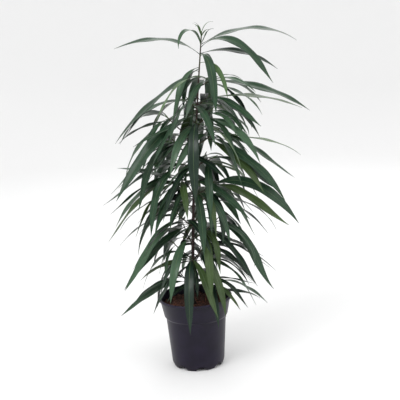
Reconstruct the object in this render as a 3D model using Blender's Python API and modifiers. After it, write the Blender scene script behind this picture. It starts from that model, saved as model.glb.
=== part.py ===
"""Alii ficus in a black nursery pot, as solids in metres.

The plant is one slender leaning trunk with short side shoots all the way up, each
carrying long narrow drooping leaves. Every shoot with its leaves is one solid, and so is
the leader above the trunk. +Z is up, the origin is at the centre of the pot's flat
underside, -Y is the side that is seen first and +X is its right. Azimuths are in degrees
from +X towards +Y.
"""
from collections import namedtuple
from math import cos, pi, sin

import bmesh
import bpy
import numpy as np

MM = 0.001
GAP = 0.3 * MM

# Pot: a thin moulded cone with a rolled lip, a collar, a sunk ring under it and arched feet
POT_HEIGHT = 165 * MM
LIP_RADIUS = 85 * MM
LIP_HEIGHT = 5 * MM
COLLAR_TOP_RADIUS = 81.5 * MM
COLLAR_LOW_RADIUS = 73.5 * MM
COLLAR_LOW = 121 * MM
BODY_TOP_RADIUS = 69.5 * MM
BODY_TOP = 116.5 * MM
BODY_LOW_RADIUS = 61 * MM
BODY_LOW = 10 * MM
FOOT_RADIUS = 55.5 * MM
WALL = 1.7 * MM
HUB_RADIUS = 44 * MM
RING_RISE = 11.5 * MM
FLOOR = 2 * MM
POT_STEPS = 48
ARCHES = 8
FIRST_ARCH = -39
ARCH_HALF_WIDTH = 12 * MM
ARCH_RISE = 10.5 * MM

# Soil
SOIL_TOP = 147 * MM

# Trunk and leader share one leaning, slightly bowed line
FOOT = np.array([-6 * MM, 0.0, SOIL_TOP + GAP])
TIP = np.array([46.5 * MM, 0.0, 762 * MM])
BOW = -6 * MM
SWAY = 4 * MM
TRUNK_TOP = 640 * MM
TRUNK_RADIUS = 4.2 * MM
TIP_RADIUS = 1.3 * MM
FLARE = 3.2 * MM
FLARE_RISE = 10 * MM
TRUNK_STEPS = 26
LEADER_STEPS = 8

# Side shoots
SHOOT_RADIUS = 1.6 * MM
SHOOT_TIP_RADIUS = 1.1 * MM
SHOOT_STEPS = 6
SHOOT_CURL = 6

# Leaves
WIDTH_SHARE = 0.102
THICK_SHARE = 0.011
PETIOLE_SHARE = 0.07
PETIOLE_RADIUS = 1.0 * MM
PETIOLE_DEPTH = 1.2 * MM
ROOT_SINK = 2.5 * MM
DRIP_HALF_WIDTH = 0.5 * MM
DRIP_HALF_DEPTH = 0.3 * MM
LARGEST_SCRAP = 20 * MM
KEEL_SHARE = 0.14
STATIONS = np.array([0.0, 0.08, 0.20, 0.38, 0.60, 0.82, 1.0])

# Room that a leaf keeps
LEAF_CLEARANCE = 4.6 * MM
OWN_CLEARANCE = 2.6 * MM
TRUNK_CLEARANCE = 3.0 * MM
ROOT_CLEARANCE = 1.8 * MM
ROOT_SHARE = 0.15
FLOOR_CLEARANCE = 10 * MM
POT_CLEARANCE = 4 * MM
PROBE_LENGTHS = 41
PROBE_WIDTHS = 5
OWN_ROOT = 10

Shoot = namedtuple("Shoot", "height azimuth rise length")
Leaf = namedtuple("Leaf", "along azimuth rise middle tip length roll")

# Height of the foot on the trunk in mm, azimuth, rise, length in mm
SHOOTS = {
    "foliage_right_1": Shoot(645, 350, 22, 30),
    "foliage_right_2": Shoot(605, 5, 30, 22),
    "foliage_right_3": Shoot(560, 340, 38, 46),
    "foliage_right_4": Shoot(515, 345, 28, 58),
    "foliage_right_5": Shoot(470, 345, 16, 44),
    "foliage_right_6": Shoot(400, 345, 28, 46),
    "foliage_right_7": Shoot(375, 10, 30, 35),
    "foliage_right_8": Shoot(300, 345, 34, 66),
    "foliage_right_9": Shoot(252, 308, 38, 46),
    "foliage_right_10": Shoot(182, 345, 26, 48),
    "foliage_left_1": Shoot(598, 190, 45, 20),
    "foliage_left_2": Shoot(566, 195, 45, 25),
    "foliage_left_3": Shoot(527, 190, 38, 77),
    "foliage_left_4": Shoot(485, 195, 40, 60),
    "foliage_left_5": Shoot(468, 205, 10, 30),
    "foliage_left_6": Shoot(433, 200, 10, 35),
    "foliage_left_7": Shoot(375, 170, 15, 15),
    "foliage_left_8": Shoot(330, 200, 40, 40),
    "foliage_left_9": Shoot(297, 215, 20, 15),
    "foliage_left_10": Shoot(254, 200, 40, 52),
    "foliage_left_11": Shoot(192, 200, 45, 28),
    "foliage_front_1": Shoot(552, 275, 35, 25),
    "foliage_front_2": Shoot(395, 285, 35, 25),
    "foliage_front_3": Shoot(240, 265, 35, 32),
    "foliage_back_1": Shoot(590, 95, 35, 40),
    "foliage_back_2": Shoot(550, 60, 35, 50),
    "foliage_back_3": Shoot(510, 125, 32, 50),
    "foliage_back_4": Shoot(455, 55, 30, 50),
    "foliage_back_5": Shoot(405, 120, 32, 50),
    "foliage_back_6": Shoot(345, 70, 32, 50),
    "foliage_back_7": Shoot(285, 115, 35, 50),
    "foliage_back_8": Shoot(232, 60, 38, 45),
}

# Leaves placed one by one: share along the shoot, azimuth, slopes at base, middle and tip,
# length in mm, roll about the blade's own run
PLACED = {
    "foliage_top": [
        Leaf(0.60, 188, 45, 4, -18, 198, -18),
        Leaf(0.75, 228, 88, 0, -98, 115, -10),
        Leaf(0.80, 330, 40, 62, -10, 48, 0),
        Leaf(0.78, 5, 27, 1, -36, 224, 15),
        Leaf(0.72, 340, 48, -36, -55, 208, 28),
        Leaf(0.62, 0, 15, -15, -40, 180, 25),
        Leaf(0.62, 292, 10, -72, -78, 165, 10),
        Leaf(0.45, 320, 20, -52, -82, 120, 20),
        Leaf(0.38, 205, -5, -68, -60, 140, -30),
        Leaf(0.36, 185, -30, -37, -52, 250, -15),
        Leaf(0.55, 75, 25, -35, -72, 165, 10),
        Leaf(0.30, 115, 15, -50, -75, 150, -15),
    ],
    "foliage_right_1": [
        Leaf(1.0, 352, -5, -18, -38, 230, 22),
        Leaf(0.8, 330, 20, -12, -47, 122, 15),
        Leaf(0.6, 336, -12, -25, -65, 150, 0),
        Leaf(0.9, 20, 28, -3, -42, 83, 0),
    ],
    "foliage_right_2": [
        Leaf(1.0, 355, 10, -8, -24, 216, 8),
        Leaf(0.7, 330, 20, -29, -35, 154, 35),
    ],
    "foliage_right_3": [
        Leaf(1.0, 330, 15, -36, -80, 108, 20),
        Leaf(0.8, 315, 10, -24, -78, 104, 20),
        Leaf(1.0, 345, -30, -20, -100, 110, 15),
        Leaf(0.4, 320, 24, -51, -62, 130, 10),
    ],
    "foliage_right_4": [
        Leaf(1.0, 355, -20, -12, -42, 196, 0),
        Leaf(0.9, 345, -7, -33, -30, 204, 8),
        Leaf(0.7, 335, -30, -38, -62, 225, 25),
        Leaf(0.5, 330, -22, -38, -57, 182, 35),
    ],
    "foliage_right_5": [
        Leaf(0.9, 350, 15, -36, -30, 170, 30),
        Leaf(0.4, 20, -10, -22, -30, 110, 20),
    ],
    "foliage_right_6": [
        Leaf(0.8, 350, 30, -28, -57, 242, 45),
        Leaf(1.0, 335, 10, -32, -28, 207, 25),
        Leaf(0.5, 305, 10, -68, -100, 155, 10),
        Leaf(0.9, 10, -5, -40, -50, 125, -8),
    ],
    "foliage_right_7": [
        Leaf(1.0, 5, -5, -27, -69, 200, 5),
    ],
    "foliage_right_8": [
        Leaf(1.0, 330, -5, -43, -100, 154, 5),
        Leaf(0.8, 330, 19, -60, -47, 219, 30),
        Leaf(0.5, 325, -5, -48, -50, 181, 5),
        Leaf(0.6, 350, -26, -33, -45, 185, -5),
        Leaf(1.0, 20, 0, -47, -108, 102, 20),
        Leaf(0.3, 305, 50, -66, -75, 134, 15),
    ],
    "foliage_right_9": [
        Leaf(0.6, 300, -50, -74, -88, 145, 10),
        Leaf(0.8, 335, -35, -55, -54, 68, 5),
        Leaf(1.0, 314, -38, -60, -78, 166, 10),
    ],
    "foliage_right_10": [
        Leaf(0.8, 5, 20, -15, -12, 112, 0),
        Leaf(0.4, 352, -30, -5, -38, 140, 5),
        Leaf(0.8, 320, -5, -34, -52, 108, 5),
    ],
    "foliage_left_1": [
        Leaf(0.2, 235, -40, -80, -85, 60, 0),
        Leaf(1.0, 178, -35, -50, -40, 288, -15),
    ],
    "foliage_left_2": [
        Leaf(1.0, 188, -20, -46, -55, 252, -35),
    ],
    "foliage_left_3": [
        Leaf(1.0, 200, -10, -70, -62, 140, -35),
        Leaf(1.0, 165, 65, -30, -50, 130, 10),
        Leaf(0.95, 172, -30, -50, -82, 182, -20),
        Leaf(0.9, 176, -5, -20, -45, 130, -15),
        Leaf(0.0, 162, -40, -12, -40, 112, -10),
        Leaf(0.05, 172, 15, 8, -3, 120, 0),
    ],
    "foliage_left_4": [
        Leaf(0.55, 195, 10, -32, -25, 84, 0),
        Leaf(1.0, 200, -10, -62, -66, 181, -30),
    ],
    "foliage_left_5": [
        Leaf(0.2, 182, 22, -30, -27, 226, -5),
        Leaf(1.0, 205, -10, -68, -80, 190, -30),
        Leaf(0.5, 240, -40, -85, -90, 50, 0),
    ],
    "foliage_left_6": [
        Leaf(1.0, 160, 4, 8, -3, 172, -10),
        Leaf(0.3, 215, -5, -34, -63, 106, -30),
        Leaf(0.4, 230, -60, -55, -85, 119, -10),
        Leaf(0.8, 182, 0, -44, -50, 228, -10),
        Leaf(1.0, 168, -50, -30, -62, 190, 0),
    ],
    "foliage_left_7": [
        Leaf(0.8, 168, -18, -29, -50, 197, -5),
    ],
    "foliage_left_8": [
        Leaf(1.0, 186, -28, -56, -52, 218, -35),
        Leaf(0.1, 185, -20, -41, -51, 217, -35),
        Leaf(0.15, 165, 2, -43, -46, 149, -10),
    ],
    "foliage_left_9": [
        Leaf(0.8, 210, -45, -60, -62, 100, 0),
    ],
    "foliage_left_10": [
        Leaf(1.0, 212, -20, -78, -74, 95, -10),
    ],
    "foliage_left_11": [
        Leaf(1.0, 188, 0, -22, -48, 128, -15),
    ],
    "foliage_front_1": [
        Leaf(1.0, 262, 10, -75, -88, 215, 0),
    ],
    "foliage_front_2": [
        Leaf(1.0, 280, 5, -75, -85, 165, 0),
    ],
    "foliage_front_3": [
        Leaf(1.0, 264, 5, -66, -86, 195, 0),
        Leaf(0.8, 280, 35, -62, -90, 285, 0),
        Leaf(0.6, 288, -20, -80, -88, 95, 0),
        Leaf(0.9, 296, 0, -52, -38, 165, 0),
    ],
}

# Leaves that the rule adds: how many it tries on each shoot, and the fan they fill
EXTRA_TRIES = 3
BACK_TRIES = 6
TOP_TRIES = 0
EXTRA_FAN = (25, 155)
BACK_FAN = 150
SEED = 11
GOLDEN = 0.618034

# Turns in degrees that a leaf may make to stay clear: of its azimuth and of its slopes
TURNS = sorted(((a, s) for a in range(-20, 21, 4) for s in (-6, -3, 0, 3, 6)),
               key=lambda turn: (abs(turn[0]) + abs(turn[1]), turn))


def heading(azimuth, slope):
    """Unit directions from azimuths and slopes in degrees."""
    a, e = np.radians(azimuth), np.radians(slope)
    return np.stack([np.cos(a) * np.cos(e), np.sin(a) * np.cos(e), np.sin(e) + 0 * a], -1)


def trunk_share(height):
    return np.clip((height - FOOT[2]) / (TIP[2] - FOOT[2]), 0, 1)


def trunk_point(height):
    """Points on the trunk's line: a straight lean, a bow to one side and a slight sway."""
    t = trunk_share(np.asarray(height, float))
    points = FOOT + (TIP - FOOT) * t[..., None]
    points[..., 0] += BOW * np.sin(pi * t)
    points[..., 1] += SWAY * np.sin(2 * pi * t)
    return points


def trunk_radius(height):
    """Straight taper to the tip, with a root flare that dies away above the soil."""
    t = trunk_share(np.asarray(height, float))
    taper = TRUNK_RADIUS + (TIP_RADIUS - TRUNK_RADIUS) * t
    return taper + FLARE * np.exp(-(height - FOOT[2]) / FLARE_RISE)


def arc(start, azimuth, slopes, length, shares):
    """Points along a curve in the upright plane of an azimuth, and its slopes: the slope
    is a parabola in the share of the length, through the three given slopes."""
    fine = np.linspace(0, 1, 81)
    rise, middle, tip = slopes

    def slope(s):
        return rise + (4 * middle - 3 * rise - tip) * s + 2 * (rise + tip - 2 * middle) * s * s

    steps = heading(azimuth + 0 * fine[1:], slope((fine[1:] + fine[:-1]) / 2)) * length / 80
    line = np.vstack([np.zeros(3), np.cumsum(steps, axis=0)]) + start
    points = np.stack([np.interp(shares, fine, line[:, k]) for k in range(3)], -1)
    return points, slope(shares)


def shoot_line(name, shares):
    """Centre line of a side shoot, which starts just clear of the trunk and curls up."""
    shoot = SHOOTS[name]
    height = shoot.height * MM
    lean = sin(np.radians(shoot.rise)) * SHOOT_RADIUS
    out = trunk_radius(height) + GAP + lean
    start = trunk_point(height) + heading(shoot.azimuth, 0) * out
    slopes = (shoot.rise, shoot.rise + SHOOT_CURL, shoot.rise + 2 * SHOOT_CURL)
    return arc(start, shoot.azimuth, slopes, shoot.length * MM, shares)[0]


def stem_line(name, shares):
    """Centre line of the stem of a mass: a side shoot, or the leader above the trunk."""
    if name == "foliage_top":
        low = TRUNK_TOP + GAP
        return trunk_point(low + (TIP[2] - low) * np.asarray(shares, float))
    return shoot_line(name, shares)


def stem_length(name):
    return TIP[2] - TRUNK_TOP if name == "foliage_top" else SHOOTS[name].length * MM


def leaf_width(share):
    """Half width over the greatest half width: a thin petiole, a lance shape that is
    widest before its middle, and a long drip tip."""
    t = np.clip((share - PETIOLE_SHARE) / (1 - PETIOLE_SHARE), 0, 1)
    return np.sin(pi * t ** 0.8) ** 0.75 * (1 - 0.5 * np.clip((t - 0.8) / 0.2, 0, 1))


def leaf_frame(name, leaf, shares):
    """Points on the midrib, and the blade's sideways and upward directions there. The
    roll comes in along the petiole and the first part of the blade."""
    sink = ROOT_SINK / stem_length(name)
    start = stem_line(name, np.array([min(max(leaf.along, sink), 1 - sink)]))[0]
    slopes = (leaf.rise, leaf.middle, leaf.tip)
    spine, slope = arc(start, leaf.azimuth, slopes, leaf.length * MM, shares)
    run = heading(leaf.azimuth + 0 * slope, slope)
    level = heading(leaf.azimuth + 90, 0) + 0 * run
    lift = np.cross(run, level)
    ease = np.clip(shares / 0.3, 0, 1)
    roll = np.radians(leaf.roll) * ease * ease * (3 - 2 * ease)
    side = level * np.cos(roll)[:, None] + lift * np.sin(roll)[:, None]
    up = lift * np.cos(roll)[:, None] - level * np.sin(roll)[:, None]
    return spine, side, up


def leaf_probe(name, leaf):
    """A fine grid of points over the blade, to measure clearances with."""
    shares = np.linspace(0, 1, PROBE_LENGTHS)
    spine, side, _ = leaf_frame(name, leaf, shares)
    half = leaf.length * MM * WIDTH_SHARE / 2 * leaf_width(shares)
    across = np.linspace(-1, 1, PROBE_WIDTHS)
    return spine[:, None] + side[:, None] * half[:, None, None] * across[None, :, None]


def pot_radius(height):
    """Outer radius of the pot at a height."""
    heights = [0, BODY_LOW, BODY_TOP, COLLAR_LOW, POT_HEIGHT - LIP_HEIGHT, POT_HEIGHT]
    radii = [FOOT_RADIUS, BODY_LOW_RADIUS, BODY_TOP_RADIUS, COLLAR_LOW_RADIUS, LIP_RADIUS, LIP_RADIUS]
    return np.interp(height, heights, radii)


def clear_of_frame(probe, owner):
    """True where a blade keeps off the trunk, the pot and soil, and what the pot stands on.
    Only the leaves of the leader may touch the stem's line, at their roots."""
    height = probe[..., 2]
    off = np.linalg.norm(probe[..., :2] - trunk_point(height)[..., :2], axis=-1)
    bark = trunk_radius(height)
    blade = np.linspace(0, 1, PROBE_LENGTHS) > ROOT_SHARE
    if np.any(off[blade] < bark[blade] + TRUNK_CLEARANCE) or np.any(height < FLOOR_CLEARANCE):
        return False
    if owner != "foliage_top" and np.any(off[~blade] < bark[~blade] + ROOT_CLEARANCE):
        return False
    radius = np.linalg.norm(probe[..., :2], axis=-1)
    low = height < POT_HEIGHT + POT_CLEARANCE
    outside = radius > pot_radius(height) + POT_CLEARANCE
    inside = (radius < COLLAR_TOP_RADIUS - WALL - POT_CLEARANCE) & (height > SOIL_TOP + POT_CLEARANCE)
    return bool(np.all(~low | outside | inside))


def keeps_clear(probe, owner, taken):
    """True where a blade keeps its distance to every stem and leaf placed before it. Near
    its root a leaf may come close to the others of its own shoot."""
    low, high = probe.min((0, 1)) - LEAF_CLEARANCE, probe.max((0, 1)) + LEAF_CLEARANCE
    for other, points, least, most in taken:
        if np.any(low > most) or np.any(high < least):
            continue
        if other == owner and points.ndim == 2:
            continue
        mine, theirs, clearance = probe, points, LEAF_CLEARANCE
        if other == owner:
            mine, theirs, clearance = probe[OWN_ROOT:], points[OWN_ROOT:], OWN_CLEARANCE
        mine, theirs = mine.reshape(-1, 3), theirs.reshape(-1, 3)
        theirs = theirs[np.all((theirs > low) & (theirs < high), axis=1)]
        if len(theirs) == 0:
            continue
        gap = mine[:, None] - theirs[None]
        if np.einsum("ijk,ijk->ij", gap, gap).min() < clearance ** 2:
            return False
    return True


def place(name, leaf, taken):
    """The leaf turned as little as it takes to stay clear, or None."""
    for turn, dip in TURNS:
        trial = leaf._replace(azimuth=leaf.azimuth + turn, middle=leaf.middle + dip, tip=leaf.tip + dip)
        probe = leaf_probe(name, trial)
        if clear_of_frame(probe, name) and keeps_clear(probe, name, taken):
            taken.append((name, probe, probe.min((0, 1)), probe.max((0, 1))))
            return trial
    return None


def extra_leaves(name, count, rng):
    """Leaves by the rule: golden steps through a fan of azimuths, ageing down the shoot."""
    start = rng.random()
    for k in range(count):
        step = (start + k * GOLDEN) % 1.0
        if name.startswith("foliage_back"):
            azimuth = SHOOTS[name].azimuth + BACK_FAN * (step - 0.5)
        else:
            azimuth = EXTRA_FAN[0] + (EXTRA_FAN[1] - EXTRA_FAN[0]) * step
        rise = rng.uniform(0, 35)
        middle = rng.uniform(-45, -20)
        tip = middle - rng.uniform(5, 40)
        yield Leaf(along=1 - k / (count + 1), azimuth=azimuth, rise=rise, middle=middle, tip=tip,
                   length=rng.uniform(150, 225), roll=rng.uniform(-30, 30))


def grow():
    """Every mass with its leaves: the placed ones first, then those of the rule."""
    names = ["foliage_top"] + list(SHOOTS)
    taken = []
    for name in names:
        line = stem_line(name, np.linspace(0, 1, 25))
        taken.append((name, line, line.min(0), line.max(0)))
    masses = {name: [] for name in names}
    for name in names:
        for leaf in PLACED.get(name, []):
            masses[name].append(place(name, leaf, taken))
    rng = np.random.default_rng(SEED)
    for name in names:
        count = BACK_TRIES if name.startswith("foliage_back") else EXTRA_TRIES
        count = TOP_TRIES if name == "foliage_top" else count
        for leaf in extra_leaves(name, count, rng):
            masses[name].append(place(name, leaf, taken))
    return {name: [leaf for leaf in leaves if leaf] for name, leaves in masses.items()}


def fresh_collection(name):
    collection = bpy.data.collections.new(name)
    bpy.context.scene.collection.children.link(collection)
    return collection


def material(name, colour, roughness, metallic=0.0):
    made = bpy.data.materials.new(name)
    made.use_nodes = True
    shader = made.node_tree.nodes["Principled BSDF"]
    shader.inputs["Base Color"].default_value = (*colour, 1.0)
    shader.inputs["Roughness"].default_value = roughness
    shader.inputs["Metallic"].default_value = metallic
    made.diffuse_color = (*colour, 1.0)
    return made


def mesh_object(name, points, faces, collection):
    mesh = bpy.data.meshes.new(name)
    mesh.from_pydata([tuple(p) for p in points], [], faces)
    obj = bpy.data.objects.new(name, mesh)
    collection.objects.link(obj)
    return obj


def turned(name, profile, collection):
    """A profile at +X, from the axis over the top and down its outer side, turned by Screw."""
    mesh = bpy.data.meshes.new(name)
    mesh.from_pydata([(r, 0, z) for r, z in profile], [(k, k + 1) for k in range(len(profile) - 1)], [])
    obj = bpy.data.objects.new(name, mesh)
    collection.objects.link(obj)
    screw = obj.modifiers.new("turn", "SCREW")
    screw.steps = screw.render_steps = POT_STEPS
    screw.use_merge_vertices = True
    screw.merge_threshold = 0.00001
    screw.use_normal_calculate = False
    return obj


def tube(name, points, radii, sides, collection):
    """A round limb along points, with its own radius at each and flat filled ends."""
    curve = bpy.data.curves.new(name, "CURVE")
    curve.dimensions = "3D"
    curve.bevel_depth = 1.0
    curve.bevel_resolution = sides // 2 - 2
    curve.use_fill_caps = True
    spline = curve.splines.new("POLY")
    spline.points.add(len(points) - 1)
    for spot, point, radius in zip(spline.points, points, radii):
        spot.co = (*point, 1.0)
        spot.radius = radius
    obj = bpy.data.objects.new(name, curve)
    collection.objects.link(obj)
    return obj


def as_mesh(obj):
    """The evaluated shape of a curve as a mesh object in its place, its caps welded."""
    depsgraph = bpy.context.evaluated_depsgraph_get()
    mesh = bpy.data.meshes.new_from_object(obj.evaluated_get(depsgraph))
    work = bmesh.new()
    work.from_mesh(mesh)
    bmesh.ops.remove_doubles(work, verts=work.verts, dist=0.00001)
    work.to_mesh(mesh)
    work.free()
    made = bpy.data.objects.new(obj.name + "_mesh", mesh)
    made.matrix_world = obj.matrix_world
    obj.users_collection[0].objects.link(made)
    name = obj.name
    bpy.data.objects.remove(obj)
    made.name = name
    return made


def pot_inner_profile(inset):
    """The pot's inner side from the hub's floor up to the lip, moved in by an inset."""
    wall = WALL + inset
    return [
        (0, FLOOR + inset),
        (HUB_RADIUS - wall, FLOOR + inset),
        (HUB_RADIUS - wall, RING_RISE + wall),
        (BODY_LOW_RADIUS - wall, RING_RISE + wall),
        (BODY_TOP_RADIUS - wall, BODY_TOP),
        (COLLAR_LOW_RADIUS - wall, COLLAR_LOW + inset),
        (COLLAR_TOP_RADIUS - wall, POT_HEIGHT - LIP_HEIGHT),
    ]


def build_pot(collection, cutters, plastic):
    """A thin cone with a rolled lip and a collar. Under it a ring is sunk between the flat
    hub and the skirt, and arches through the skirt open into that ring."""
    lip = LIP_RADIUS - LIP_HEIGHT / 4
    skirt = FOOT_RADIUS - WALL
    profile = pot_inner_profile(0) + [
        (COLLAR_TOP_RADIUS - WALL + 0.4 * MM, POT_HEIGHT - 0.8 * MM),
        (COLLAR_TOP_RADIUS - WALL + 1.2 * MM, POT_HEIGHT),
        (lip, POT_HEIGHT),
        (LIP_RADIUS, POT_HEIGHT - LIP_HEIGHT / 4),
        (LIP_RADIUS, POT_HEIGHT - LIP_HEIGHT * 0.8),
        (LIP_RADIUS - 0.8 * MM, POT_HEIGHT - LIP_HEIGHT),
        (COLLAR_TOP_RADIUS, POT_HEIGHT - LIP_HEIGHT),
        (COLLAR_LOW_RADIUS, COLLAR_LOW),
        (BODY_TOP_RADIUS + 0.4 * MM, BODY_TOP + 0.8 * MM),
        (BODY_TOP_RADIUS, BODY_TOP - 1.0 * MM),
        (BODY_LOW_RADIUS, BODY_LOW),
        (BODY_LOW_RADIUS - 1.0 * MM, BODY_LOW * 0.5),
        (FOOT_RADIUS + 2.4 * MM, BODY_LOW * 0.15),
        (FOOT_RADIUS, 0),
        (skirt, 0),
        (BODY_LOW_RADIUS - 2 * WALL, BODY_LOW * 0.6),
        (BODY_LOW_RADIUS - 2 * WALL, RING_RISE),
        (HUB_RADIUS, RING_RISE),
        (HUB_RADIUS, 0),
        (0, 0),
    ]
    pot = turned("pot", profile, collection)
    pot.data.materials.append(plastic)
    for k in range(ARCHES):
        azimuth = np.radians(FIRST_ARCH + 360 * k / ARCHES)
        reach = BODY_LOW_RADIUS - HUB_RADIUS
        middle = (HUB_RADIUS + BODY_LOW_RADIUS) / 2 + 4 * MM
        bpy.ops.mesh.primitive_cylinder_add(vertices=24, radius=1, depth=1)
        cutter = bpy.context.object
        cutter.name = "arch_%d" % (k + 1)
        cutter.scale = (ARCH_RISE, ARCH_HALF_WIDTH, reach)
        cutter.rotation_euler = (0, pi / 2, azimuth)
        cutter.location = (middle * cos(azimuth), middle * sin(azimuth), 0)
        bpy.ops.object.transform_apply(location=False, rotation=False, scale=True)
        for home in list(cutter.users_collection):
            home.objects.unlink(cutter)
        cutters.objects.link(cutter)
        cutter.hide_render = True
        cutter.display_type = "WIRE"
    cut = pot.modifiers.new("arches", "BOOLEAN")
    cut.operation = "DIFFERENCE"
    cut.operand_type = "COLLECTION"
    cut.collection = cutters
    cut.solver = "EXACT"
    return pot


def build_soil(collection, earth):
    """The potting soil fills the pot to a flat top a little below the rim."""
    rise = (SOIL_TOP - COLLAR_LOW) / (POT_HEIGHT - LIP_HEIGHT - COLLAR_LOW)
    inner = COLLAR_LOW_RADIUS + (COLLAR_TOP_RADIUS - COLLAR_LOW_RADIUS) * rise - WALL - GAP
    shell = [(r, z) for r, z in pot_inner_profile(GAP) if z < SOIL_TOP] + [(inner, SOIL_TOP)]
    soil = turned("soil", [(0, SOIL_TOP)] + shell[::-1], collection)
    soil.data.materials.append(earth)
    return soil


def build_trunk(collection, bark):
    """One tapering stem from a flat cut on the soil, upright at its foot, to the leader."""
    shares = np.linspace(0, 1, TRUNK_STEPS) ** 1.6
    heights = FOOT[2] + (TRUNK_TOP - FOOT[2]) * shares
    points = trunk_point(heights)
    points[0, :2] = points[1, :2]
    trunk = tube("trunk", points, trunk_radius(heights), 12, collection)
    trunk.data.materials.append(bark)
    return trunk


def build_blade(name, mass, leaf, collection):
    """A closed lance-shaped blade: a four-cornered section along the midrib, flat but for
    a keel, from inside the stem to the drip tip."""
    spine, side, up = leaf_frame(mass, leaf, STATIONS)
    length = leaf.length * MM
    half = np.maximum(length * WIDTH_SHARE / 2 * leaf_width(STATIONS), PETIOLE_RADIUS)
    thick = np.full(len(STATIONS), max(length * THICK_SHARE, PETIOLE_DEPTH) / 2)
    keel = KEEL_SHARE * half
    half[-1], thick[-1], keel[-1] = DRIP_HALF_WIDTH, DRIP_HALF_DEPTH, 0
    left = spine - side * half[:, None] + up * keel[:, None]
    right = spine + side * half[:, None] + up * keel[:, None]
    over, under = spine + up * thick[:, None], spine - up * thick[:, None]
    points = np.stack([left, under, right, over], 1).reshape(-1, 3)
    count = len(STATIONS)
    faces = [(4 * s + k, 4 * s + (k + 1) % 4, 4 * s + 4 + (k + 1) % 4, 4 * s + 4 + k)
             for s in range(count - 1) for k in range(4)]
    faces += [(3, 2, 1, 0), tuple(4 * (count - 1) + k for k in range(4))]
    return mesh_object(name, points, faces, collection)


def outer_skin(mesh):
    """Keeps the outer skin of a fused mass. A skin round a sealed hollow and a loose scrap
    are removed, which fills the one and drops the other."""
    work = bmesh.new()
    work.from_mesh(mesh)
    left = set(work.verts)
    islands = []
    while left:
        island, edge = set(), [left.pop()]
        while edge:
            vert = edge.pop()
            island.add(vert)
            near = {link.other_vert(vert) for link in vert.link_edges} & left
            left -= near
            edge.extend(near)
        islands.append(island)
    islands.sort(key=len, reverse=True)
    for island in islands[1:]:
        places = np.array([vert.co for vert in island])
        if np.ptp(places, axis=0).max() > LARGEST_SCRAP:
            raise ValueError("%s has a leaf that isn't joined to its stem" % mesh.name)
        bmesh.ops.delete(work, geom=list(island), context="VERTS")
    work.to_mesh(mesh)
    work.free()


def build_mass(name, leaves, collection, green):
    """A stem with its leaves fused on by one Boolean union."""
    if name == "foliage_top":
        shares = np.linspace(0, 1, LEADER_STEPS)
        points = stem_line(name, shares)
        radii = trunk_radius(points[:, 2])
    else:
        shares = np.linspace(0, 1, SHOOT_STEPS)
        points = stem_line(name, shares)
        radii = SHOOT_RADIUS + (SHOOT_TIP_RADIUS - SHOOT_RADIUS) * shares
    stem = as_mesh(tube(name, points, radii, 8, collection))
    blades = fresh_collection(name + "_blades")
    for k, leaf in enumerate(leaves):
        build_blade("%s_blade_%d" % (name, k + 1), name, leaf, blades)
    union = stem.modifiers.new("leaves", "BOOLEAN")
    union.operation = "UNION"
    union.operand_type = "COLLECTION"
    union.collection = blades
    union.solver = "EXACT"
    depsgraph = bpy.context.evaluated_depsgraph_get()
    fused = bpy.data.meshes.new_from_object(stem.evaluated_get(depsgraph))
    outer_skin(fused)
    stem.modifiers.clear()
    stem.data = fused
    stem.data.materials.clear()
    stem.data.materials.append(green)
    for blade in list(blades.objects):
        bpy.data.objects.remove(blade)
    bpy.data.collections.remove(blades)
    return stem


def main():
    for obj in list(bpy.data.objects):
        bpy.data.objects.remove(obj)
    plant = fresh_collection("alii_ficus")
    cutters = fresh_collection("cutters")
    plastic = material("pot_plastic", (0.030, 0.024, 0.042), 0.45)
    earth = material("potting_soil", (0.055, 0.028, 0.024), 0.95)
    bark = material("bark", (0.060, 0.040, 0.036), 0.80)
    green = material("leaf_green", (0.045, 0.105, 0.055), 0.45)
    build_pot(plant, cutters, plastic)
    build_soil(plant, earth)
    build_trunk(plant, bark)
    for name, leaves in grow().items():
        build_mass(name, leaves, plant, green)


if __name__ == "__main__":
    main()
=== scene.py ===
"""Finished surfaces of an alii ficus in a black nursery pot, in metres, +Z up, -Y seen first.

The trunk, the shoots and the leaves follow the same rule as the solids and lie in the same
places. Every surface is worked out as whole arrays: rings of points carried along a line,
or a profile turned about the pot's axis.
"""
from collections import namedtuple
from math import cos, pi, sin

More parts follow.
